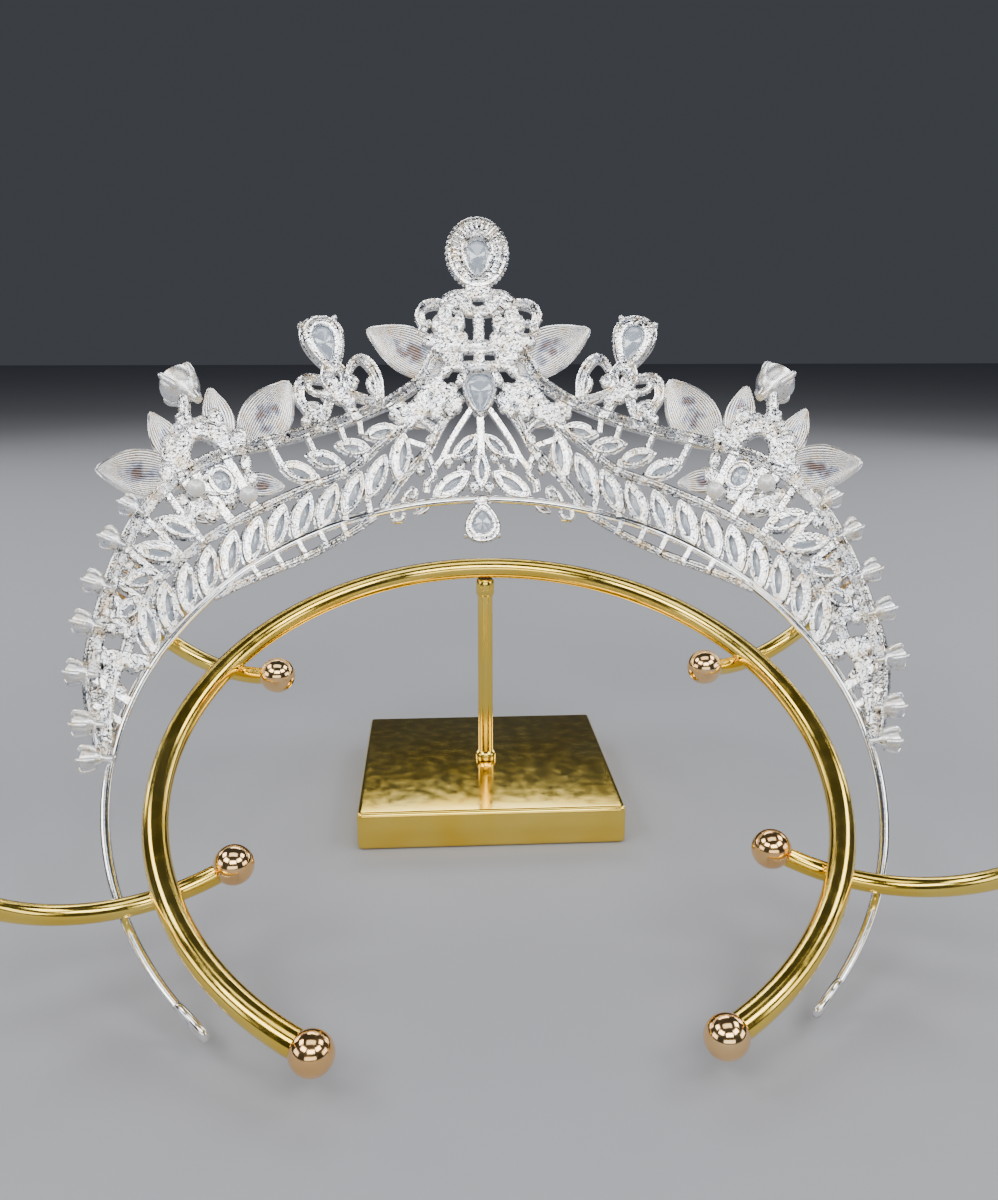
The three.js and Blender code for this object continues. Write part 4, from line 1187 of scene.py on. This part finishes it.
def leaf(row, side):
    """The front is bright and smooth, so it gets no painted reflections, its hollow measure being zero, and
    paler painted shade in its furrows.
    """
    piece = only(leaf_skin(row, side))
    hollow_side = len(piece.data.vertices)
    bpy.ops.object.modifier_add(type="SOLIDIFY")
    piece.modifiers[0].thickness = LEAF["thick"]
    piece.modifiers[0].offset = -1
    bpy.ops.object.modifier_apply(modifier=piece.modifiers[0].name)
    for vertex in piece.data.vertices[hollow_side:]:
        piece.data.attributes["hollow"].data[vertex.index].value = 0
        piece.data.attributes["furrow"].data[vertex.index].value *= LEAF["front_furrow_shade"]
    return clean(piece)


cast(solder("leaves", [leaf(row, side) for row in LEAVES for side in SIDES]), ribbed_leaf, 60)

# %% [markdown]
# ## Rough masses behind the flowers
#
# Behind each flower, and on the crown, the petals' backs have run together in the mould to one rough
# grained mass. Overlapping discs and strips give its outline; a remesh melts them together, and a fine
# cloud displaces the skin by tenths of a millimetre, as a worn rubber mould leaves it.

# %% Discs, arch and stems, melted together
ARCHES = table(
    "name width height section phi w",
    ("flower arch", 4.4, 2.6, "strip", (38.6, 38.9, 39.6, 41.2, 43.2, 44.9, 45.6),
     (25.6, 28.4, 31.2, 33.2, 32.4, 29.6, 26.2)),
    ("great stem", 3.0, 2.4, "round", (42, 41.5, 40.6, 39.9), (33.4, 36.6, 39.6, 42)),
    ("lower flower stem", 2.4, 2.0, "round", (40.2, 42, 44, 46.6), (14.2, 16.4, 18, 21)),
    ("side web", 3.4, 1.9, "strip", (72.5, 74.5, 76.5), (0.5, 6, 10.5)),
    ("side fill", 2.8, 1.9, "strip", (73.5, 77, 81, 85, 89), (5.4, 5.6, 4.6, 3.2, 1.8)),
)
CROWN_BARS = (
    (0, 33, 0, 48.6, 2.8), (0, 51.4, 0, 56.4, 6.4), (-3, 52.2, 3, 52.2, 2.4), (-5, 39, 5, 39, 3.4),
    (-4.4, 34.2, 4.4, 34.2, 2.6),
)
# Each disc's phi, w, turn, length and width
DISCS = (
    (38.4, 26.8, 0, 6.0, 4.6), (36.6, 27.4, 40, 6.0, 4.4), (38.4, 30.8, 10, 6.0, 4.6),
    (39.9, 33.6, -20, 5.0, 4.2), (41.4, 34.6, -60, 5.4, 4.0), (43.0, 34.4, -40, 5.2, 4.2),
    (44.8, 32.6, -10, 5.6, 4.6), (46.2, 30.2, 10, 6.0, 4.8), (46.2, 27.2, 0, 5.6, 5.0),
    (48.0, 27.6, 60, 5.0, 4.0), (37.9, 34.0, 0, 5.0, 3.6), (41.9, 36.6, -20, 3.8, 3.2),
    (47.6, 17.6, 10, 5.4, 4.6), (46.2, 15.0, 60, 5.0, 4.2), (48.4, 20.4, -40, 4.6, 3.8),
    (38.0, 17.6, 30, 4.4, 3.8), (42.6, 15.4, 0, 4.4, 3.6), (43.6, 22.8, 50, 4.0, 3.2),
    (37.4, 21.4, 20, 4.6, 3.0), (49.6, 16.6, 30, 4.4, 3.4), (4.3, 47.4, 0, 5.6, 3.8),
    (4.2, 43.4, 0, 6.4, 4.2), (2.5, 45.2, 0, 5.2, 3.0), (3.0, 40.6, 60, 6.4, 4.6),
    (5.0, 39.6, 60, 6.0, 4.8), (6.6, 40.8, 60, 4.4, 3.4), (2.6, 51.4, 80, 4.6, 2.6),
    (1.0, 47.4, 90, 3.6, 1.8), (0.9, 39.2, 90, 4.4, 2.6), (3.2, 36.2, 40, 4.6, 3.4),
    (4.4, 27.4, 20, 5.0, 3.8), (2.6, 30.6, 30, 4.6, 2.6), (3.4, 24.2, 10, 5.0, 2.6),
    (9.8, 24.6, 40, 5.4, 3.4), (10.8, 21.2, 20, 5.0, 3.2), (8.4, 27.2, 50, 4.8, 3.2),
    (12.4, 25.2, 70, 3.8, 2.8), (20.6, 30.6, 0, 6.0, 4.0), (20.4, 36.6, 90, 4.0, 2.6),
    (25.0, 27.2, 30, 4.0, 3.4), (26.2, 26.2, 60, 3.4, 2.6), (76.4, 8.6, 20, 4.2, 3.0),
    (82.4, 4.4, 30, 4.2, 3.0), (87.6, 2.2, 30, 3.8, 2.6), (56.0, 20.4, 20, 3.6, 2.8),
    (61.8, 16.6, 20, 3.6, 2.6), (67.4, 13.4, 30, 3.8, 2.6), (71.4, 10.8, 30, 3.6, 2.8),
    (1.4, 3.0, 0, 3.2, 2.8), (1.6, 49.4, 30, 4.4, 3.2), (3.4, 49.6, 80, 3.6, 2.8),
    (5.4, 45.0, 10, 5.0, 3.0), (5.0, 41.4, 40, 5.0, 3.4), (4.6, 36.8, 30, 4.4, 3.2),
    (5.8, 25.7, 60, 6.2, 4.4), (7.9, 24.6, 60, 5.4, 4.2), (4.8, 33.0, 30, 4.0, 3.0),
    (1.4, 34.0, 90, 3.6, 2.4), (6.4, 30.4, 50, 4.6, 3.2), (7.6, 28.8, 60, 4.4, 3.2),
    (9.2, 22.2, 20, 4.2, 3.2), (11.4, 23.6, 30, 4.6, 3.0), (12.6, 21.4, 0, 3.8, 2.8),
    (13.4, 23.4, 20, 3.2, 2.4), (8.2, 15.6, 30, 3.4, 2.6), (10.6, 8.4, 20, 3.2, 2.4),
    (9.6, 11.4, 10, 3.0, 2.2), (12.2, 11.8, 30, 2.8, 2.2), (19.4, 28.2, 0, 4.4, 3.4),
    (21.0, 33.4, 0, 4.6, 3.4), (22.4, 31.0, 20, 3.4, 2.6), (18.2, 32.4, 20, 3.2, 2.6),
    (78.6, 6.8, 30, 3.6, 2.8), (79.4, 3.0, 30, 3.2, 2.4), (74.6, 3.0, 0, 3.4, 2.6),
    (84.6, 4.2, 30, 3.2, 2.4), (70.6, 7.6, 30, 3.2, 2.6), (58.6, 16.8, 20, 3.6, 2.8),
    (64.4, 15.2, 30, 3.4, 2.8), (54.2, 19.0, 20, 3.2, 2.4), (69.6, 9.6, 30, 3.4, 2.4),
    (60.2, 12.4, 20, 3.0, 2.4), (55.0, 13.8, 20, 3.0, 2.4), (65.4, 10.8, 30, 3.0, 2.2),
    (3.9, 24.8, 10, 4.6, 3.4), (6.8, 22.4, 30, 4.6, 3.4), (4.6, 22.6, 20, 4.2, 2.8),
    (6.0, 28.2, 50, 5.0, 3.6), (3.6, 8.0, 30, 3.0, 2.2), (5.6, 9.4, 20, 3.0, 2.4),
    (2.2, 10.2, 60, 2.6, 2.2),
)
DISC_SIDES = 16
DISC_STEPS = ((0.7, -1.1), (1.0, -0.8), (1.0, 0.4), (0.84, 0.95), (0.45, 1.05))
MELT = {"voxel": 0.285, "grain": 0.55, "octaves": 2, "grain_depth": 0.34}


def melt(piece):
    """Melt overlapping pieces into one skin and roughen it."""
    only(piece)
    bpy.ops.object.modifier_add(type="REMESH")
    piece.modifiers[0].mode = "VOXEL"
    piece.modifiers[0].voxel_size = MELT["voxel"]
    bpy.ops.object.modifier_apply(modifier=piece.modifiers[0].name)
    cloud = bpy.data.textures.new("mould grain", "CLOUDS")
    cloud.noise_scale = MELT["grain"]
    cloud.noise_depth = MELT["octaves"]
    bpy.ops.object.modifier_add(type="DISPLACE")
    piece.modifiers[0].texture = cloud
    piece.modifiers[0].texture_coords = "LOCAL"
    piece.modifiers[0].strength = MELT["grain_depth"]
    bpy.ops.object.modifier_apply(modifier=piece.modifiers[0].name)
    return piece


def mass_work():
    pieces = []
    for phi, w, turn, length, width in DISCS:
        rows = [(length * share, width * share, lift) for share, lift in DISC_STEPS]
        disc = raise_work("disc", "oval", rows, DISC_SIDES, through=False)
        pieces += [copy_at(disc, on_pattern(side * phi, w, turn)) for side in SIDES]
        put_away(disc)
    for row in ARCHES:
        pieces += [cast_wire(row, side) for side in SIDES]
    pieces += [strut(*row) for row in CROWN_BARS]
    return melt(solder("rough_masses", pieces))


cast(mass_work(), rough_casting, 60)

# %% [markdown]
# ## Pearls
#
# Each pearl is glued on a small plate of the casting and stands proud towards the wearer. A ball of even
# triangles has no poles, so its soft highlight stays round.

# %% Pearls on their plates
BEAD = {"diameter": 4.2, "lift": 2.9, "detail": 4}
PEARL_PLATE = ((3.2, 3.2, -0.8), (3.8, 3.8, -0.5), (3.8, 3.8, 0.6), (3.0, 3.0, 1.1))
PEARLS = table("name phi w", ("pearl_lower", 40.2, 14.2), ("pearl_upper", 46.6, 21.2))


def pearl_work():
    plates = []
    bead = ball_master("bead", BEAD["diameter"], BEAD["detail"])
    plate = raise_work("pearl_plate", "oval", PEARL_PLATE, CUP_SIDES, through=False)
    for row in PEARLS:
        for name, side in sided(row["name"], row["phi"]):
            place = on_pattern(side * row["phi"], row["w"])
            plates.append(copy_at(plate, place))
            pearl_bead = copy_at(bead, place @ Matrix.Translation((0, 0, BEAD["lift"])), name + "_bead")
            finish(smooth(roll(pearl_bead), 60), pearl, "pearl", name)
    put_away(bead, plate)
    return solder("pearl_plates", plates)


cast(pearl_work(), rhodium_casting)

# %% [markdown]
# ## Claw cups down the sides
#
# Seven tulip-shaped cups stand on stems down each side, and a larger one over each flower group. The cup
# is an open bell with four claws bent over the stone; its axis leans to the front.

# %% Claw cups and round stones
SIDE_PLACES = ((54.8, 25.0), (60.2, 22.0), (66.6, 18.0), (72.6, 14.6), (79.8, 10.6), (86.8, 5.6), (91.8, 2.4))
GREAT_PLACES = ((39.3, 42.0),)
CLAW_CUPS = table(
    "stone places radius depth lean claw scallop",
    ("side_stone", SIDE_PLACES, 2.3, 2.6, 36, 1.0, 0.07),
    ("great_stone", GREAT_PLACES, 4.6, 4.4, 42, 1.5, 0.03),
)
# The bell's steps and the claw's line, as shares of the cup's radius and depth
BELL = (
    (0.44, -1.0), (0.5, -0.6), (0.64, -0.32), (1.1, -0.1), (1.56, 0.22), (1.86, 0.6), (1.99, 0.95),
    (2.0, 1.14), (1.82, 1.18), (1.62, 0.9), (0.9, 0.5),
)
BELL_SIDES = 32
BELL_LIP = 0.9
CLAWS = 4
CLAW_LINE = ((0.2, 0.72), (0.62, 0.94), (1.0, 1.04), (1.26, 1.0), (1.42, 0.72))
CLAW_STEP = 0.35
CLAW_SWELL = (1.2, 1.0, 0.8)
CLAW_UPRIGHT = Matrix(((0, 1, 0, 0), (0, 0, 1, 0), (1, 0, 0, 0), (0, 0, 0, 1)))
ROUND_CUT = {"radius": 0.86, "girdle": 1.16, "crown": -0.36, "depth": -0.8}


def bell(cup):
    """The lip is scalloped, and the claws stand on its low places."""
    radius, depth = cup["radius"], cup["depth"]
    rows = [(radius * across, radius * across, depth * up) for across, up in BELL]
    piece = raise_work("bell", "oval", rows, BELL_SIDES, through=False)
    for vertex in piece.data.vertices:
        if vertex.co.z > depth * BELL_LIP:
            turn = math.atan2(vertex.co.y, vertex.co.x) - math.pi / CLAWS
            vertex.co.z += depth * cup["scallop"] * math.cos(CLAWS * turn)
    points = [Vector((up * depth, across * radius, 0)) for up, across in CLAW_LINE]
    claw = swept("claw", smooth_line(points, CLAW_STEP), cup["claw"], cup["claw"], "round", CLAW_SWELL)
    claw.data.transform(CLAW_UPRIGHT)
    turns = [2 * math.pi * (k + HALF_STEP) / CLAWS for k in range(CLAWS)]
    claws = [copy_at(claw, Matrix.Rotation(turn, 4, "Z")) for turn in turns]
    put_away(claw)
    return solder("bell", [piece, *claws])


def round_stone(cup):
    radius = cup["radius"] * ROUND_CUT["radius"]
    return cut_stone("round_stone", "oval", 2 * radius, 2 * radius, cup["depth"] * ROUND_CUT["girdle"],
                     radius * ROUND_CUT["crown"], radius * ROUND_CUT["depth"], STONE["fine_sides"])


def cup_place(phi, w, lean):
    """The cup's own axis is turned up the slope and then leaned to the front."""
    return on_pattern(phi, w) @ Matrix.Rotation(-math.radians(lean) - math.pi / 2, 4, "X")


def claw_cups():
    pieces = []
    for cup in CLAW_CUPS:
        master, stone = bell(cup), round_stone(cup)
        for side in SIDES:
            for i, (phi, w) in enumerate(cup["places"]):
                place = cup_place(side * phi, w, cup["lean"])
                pieces.append(copy_at(master, place))
                number = f"_{i + 1}" if len(cup["places"]) > 1 else ""
                name = f"{cup['stone']}_{SIDE_NAME[side]}{number}"
                lay_stone(copy_at(stone, place, name + "_cut"), name)
        put_away(master, stone)
    return solder("claw_cups", pieces)


cast(claw_cups(), tumbled_casting, 50)

# %% [markdown]
# ## Grains along the edges
#
# The front of the upper rail is set with small stones. Their grains stand past its outer edge as fine
# teeth. There are hundreds, so one coarse ball is copied at even steps along each edge.

# %% Grain rows
GRAIN_ROWS = table(
    "phi w distance lift",
    ((53, 61, 70, 80, 91), (24, 19.6, 14.2, 9, 1.4), 1.0, -0.7),
    ((15.2, 14.8, 14.6, 14.6), (36, 34.2, 31.8, 30), 1.0, -0.5),
    ((4.2, 5.4, 6.8, 7.5, 7.6), (49.9, 50.2, 49.7, 48, 46.4), 0.9, -0.5),
)
GRAIN = 1.1
GRAIN_STEP = 1.25


def grain_work():
    grains = []
    for row in GRAIN_ROWS:
        for side in SIDES:
            points = pattern_line(row, side, GRAIN_STEP)
            grains += grains_along(offset_line(points, row["distance"] * side, row["lift"]), GRAIN)
    return solder("edge_grains", grains)


cast(grain_work(), rhodium_casting)

# %% [markdown]
# ## The stand
#
# The base is a square plate with softened edges, the post a turned rod with a foot and a collar. A
# C-shaped tube is welded on the post, and four bent arms are welded to the tube. A turned ball closes
# every tube end.

# %% Base and post
BASE = {"side": 60.0, "height": 8.9, "round": 1.1, "segments": 5}
POST = (
    (3.6, 8.9), (5.0, 9.0), (5.0, 10.4), (4.6, 10.8), (3.7, 11.3), (3.6, 50.6), (4.1, 50.8), (4.4, 51.2),
    (4.4, 53.8), (4.1, 54.3), (3.4, 54.6),
)
POST_SIDES = 40


def to_metres(piece):
    piece.data.transform(Matrix.Scale(MM, 4))
    return piece


def stand_base():
    deselect()
    bpy.ops.mesh.primitive_cube_add(size=1)
    piece = bpy.context.object
    piece.name = "base_plate"
    edit(piece)
    bpy.ops.transform.resize(value=(BASE["side"], BASE["side"], BASE["height"]))
    bpy.ops.transform.translate(value=(0, 0, BASE["height"] / 2))
    bpy.ops.mesh.bevel(offset=BASE["round"], segments=BASE["segments"])
    leave_edit()
    return to_metres(clean(piece))


def stand_post():
    rows = [(width, width, height) for width, height in POST]
    return to_metres(raise_work("post_rod", "oval", rows, POST_SIDES, through=False))


finish(smooth(stand_base(), 30), gilt, "gold_metal", "stand_base")
finish(smooth(stand_post(), 30), gilt, "gold_metal", "stand_post")

# %% [markdown]
# ### Ring, arms and balls
#
# The ring and the arms are one size of steel tube each, bent in a roller and welded where they cross. A
# tube is swept along its own arc here, as the roller bends it, with enough sides to stay round in a
# mirror finish. The balls are turned and drilled on one side, so they sit over the tube's end.

# %% Ring, arms and balls
RING = {"radius": 63.9, "tube": 4.75, "tilt": math.radians(24.6), "gap": 30.5, "parts": 120}
RING_CENTRE = Vector((0, -58.1, 30.6))
ARM = {"tube": 3.5, "bow": 34.0, "below": 3.3, "inside": -10.6, "outside": 29.0, "step": 1.4}
ARMS = table("name angle lowest", ("upper", 59.6, 5.5), ("lower", 112.2, 0.0))
BALL = {"diameter": 7.2, "socket": 1.4, "clearance": 0.3, "segments": 48}
TUBE_SIDES = 28
SECTIONS["tube"] = round_shares(TUBE_SIDES)


def ring_point(angle, radius, height):
    forward = radius * math.cos(math.radians(angle))
    tilt = RING["tilt"]
    place = Vector((radius * math.sin(math.radians(angle)),
                    forward * math.cos(tilt) - height * math.sin(tilt),
                    forward * math.sin(tilt) + height * math.cos(tilt)))
    return RING_CENTRE + place


def arm_line(side, angle, lowest):
    count = round((ARM["outside"] - ARM["inside"]) / ARM["step"])
    points = []
    for k in range(count + 1):
        reach = ARM["inside"] + (ARM["outside"] - ARM["inside"]) * k / count
        rise = ARM["bow"] - math.sqrt(ARM["bow"] ** 2 - (reach - lowest) ** 2) - ARM["below"]
        points.append(ring_point(side * angle, RING["radius"] + reach, rise))
    return points


def end_ball(name, points, tube):
    """A ball that sits over the line's last point."""
    along = (points[-1] - points[-2]).normalized()
    mouth = math.sqrt((BALL["diameter"] / 2) ** 2 - (tube / 2 + BALL["clearance"]) ** 2)
    deselect()
    bpy.ops.mesh.primitive_uv_sphere_add(segments=BALL["segments"], ring_count=BALL["segments"] // 2,
                                         radius=BALL["diameter"] / 2)
    ball = bpy.context.object
    ball.name = name + "_turned"
    ball.data.transform(Matrix.Translation(points[-1] + along * (mouth - BALL["socket"])))
    finish(smooth(to_metres(ball), 60), rosy_gilt, "rose_gold_metal", name)


def stand_tubes():
    half, count = 180 - RING["gap"], RING["parts"]
    ring = [ring_point(-half + 2 * half * k / count, RING["radius"], 0) for k in range(count + 1)]
    pieces = [swept("ring", ring, RING["tube"], RING["tube"], "tube")]
    end_ball("ball_ring_right", ring, RING["tube"])
    end_ball("ball_ring_left", ring[::-1], RING["tube"])
    for arm in ARMS:
        for side in SIDES:
            line = arm_line(side, arm["angle"], arm["lowest"])
            pieces.append(swept("arm", line, ARM["tube"], ARM["tube"], "tube"))
            end_ball(f"ball_outer_{arm['name']}_{SIDE_NAME[side]}", line, ARM["tube"])
            end_ball(f"ball_inner_{arm['name']}_{SIDE_NAME[side]}", line[::-1], ARM["tube"])
    return to_metres(solder("ring_and_arms", pieces))


finish(smooth(stand_tubes()), gilt, "gold_metal", "stand_ring")

# %% [markdown]
# ## Camera
#
# The tiara was photographed from behind the stand, a little above its band and almost level. The lens is
# a phone's, and its length is worked out from the square base and the two rings, whose true shapes are
# known.

# %% Camera
CAMERA_PLACE = Vector((-12.2, -250.1, 113.2)) * MM
CAMERA_HEADING = math.radians(-3.55)
CAMERA_PITCH = math.radians(-14.3)
LENS_MM = 32.4
SENSOR_MM = 36
CLIP_START = 0.005

camera_data = bpy.data.cameras.new("camera")
camera_data.lens = LENS_MM
camera_data.sensor_width = SENSOR_MM
camera_data.clip_start = CLIP_START
camera = bpy.data.objects.new("camera", camera_data)
camera.location = CAMERA_PLACE
camera.rotation_euler = (math.pi / 2 + CAMERA_PITCH, 0, CAMERA_HEADING)
bpy.context.scene.collection.objects.link(camera)
bpy.context.scene.camera = camera
print("camera at, mm:", [round(value / MM, 1) for value in camera.location], "lens:", LENS_MM)

# %% [markdown]
# ## Soft boxes
#
# Bright metal shows what stands round it, so a jeweller lights it with large soft boxes and little else.
# One long box stands over the camera, others are spaced round the tiara, some low, and the gaps between
# them make the dark lines that draw its edges. All stand as far from it, and each is named for the side
# that it lights.

# %% Soft boxes: degrees round from the camera's side, degrees up, size in metres and watts
SOFT_BOXES = table(
    "name turn rise size power",
    ("key", 3, 37, (0.56, 0.26), 3.8),
    ("left", -48, 41, (0.44, 0.28), 2.9),
    ("right", 50, 41, (0.44, 0.28), 2.9),
    ("far_left", -96, 46, (0.36, 0.28), 2.1),
    ("far_right", 98, 46, (0.36, 0.28), 2.1),
    ("front", 180, 40, (0.6, 0.3), 3.0),
    ("overhead", 0, 82, (0.7, 0.36), 2.0),
    ("low_back", 0, 8, (0.9, 0.24), 1.8),
    ("low_left", -74, 12, (0.5, 0.26), 1.3),
    ("low_right", 74, 12, (0.5, 0.26), 1.3),
    ("front_left", -128, 16, (0.4, 0.3), 1.6),
    ("front_right", 128, 16, (0.4, 0.3), 1.6),
)
MIDDLE = Vector((0, -0.03, 0.06))
BOX_REACH = 0.95
AIR_COLOUR = "#7d828c"
AIR_STRENGTH = 0.25


def soft_box(name, turn, rise, size, power):
    turn, rise = math.radians(turn), math.radians(rise)
    way = Vector((math.sin(turn) * math.cos(rise), -math.cos(turn) * math.cos(rise), math.sin(rise)))
    data = bpy.data.lights.new(name, "AREA")
    data.shape = "RECTANGLE"
    data.size, data.size_y = size
    data.energy = power
    light = bpy.data.objects.new(name, data)
    light.location = MIDDLE + way * BOX_REACH
    light.rotation_euler = (-way).to_track_quat("-Z", "Y").to_euler()
    bpy.context.scene.collection.objects.link(light)


for row in SOFT_BOXES:
    soft_box(**row)

world = bpy.data.worlds.new("studio")
world.use_nodes = True
world.node_tree.nodes["Background"].inputs["Color"].default_value = linear(AIR_COLOUR)
world.node_tree.nodes["Background"].inputs["Strength"].default_value = AIR_STRENGTH
bpy.context.scene.world = world
print("soft boxes:", len(SOFT_BOXES), "- watts in all:", round(sum(row["power"] for row in SOFT_BOXES), 1))

# %% [markdown]
# ## Floor
#
# A sheet of matt grey backdrop paper, wide enough to fill the picture. It is a mid tone and has no
# pattern, so both the bright openwork and the gold stand out from it.

# %% Floor
FLOOR_SIDE = 6


def matt_paper():
    material, paper = new_finish("matt_backdrop_paper")
    paper.inputs["Base Color"].default_value = linear("#999a9f")
    paper.inputs["Roughness"].default_value = 0.8
    return material


deselect()
bpy.ops.mesh.primitive_plane_add(size=FLOOR_SIDE)
floor = bpy.context.object
floor.name = "floor"
floor.data.materials.append(matt_paper())
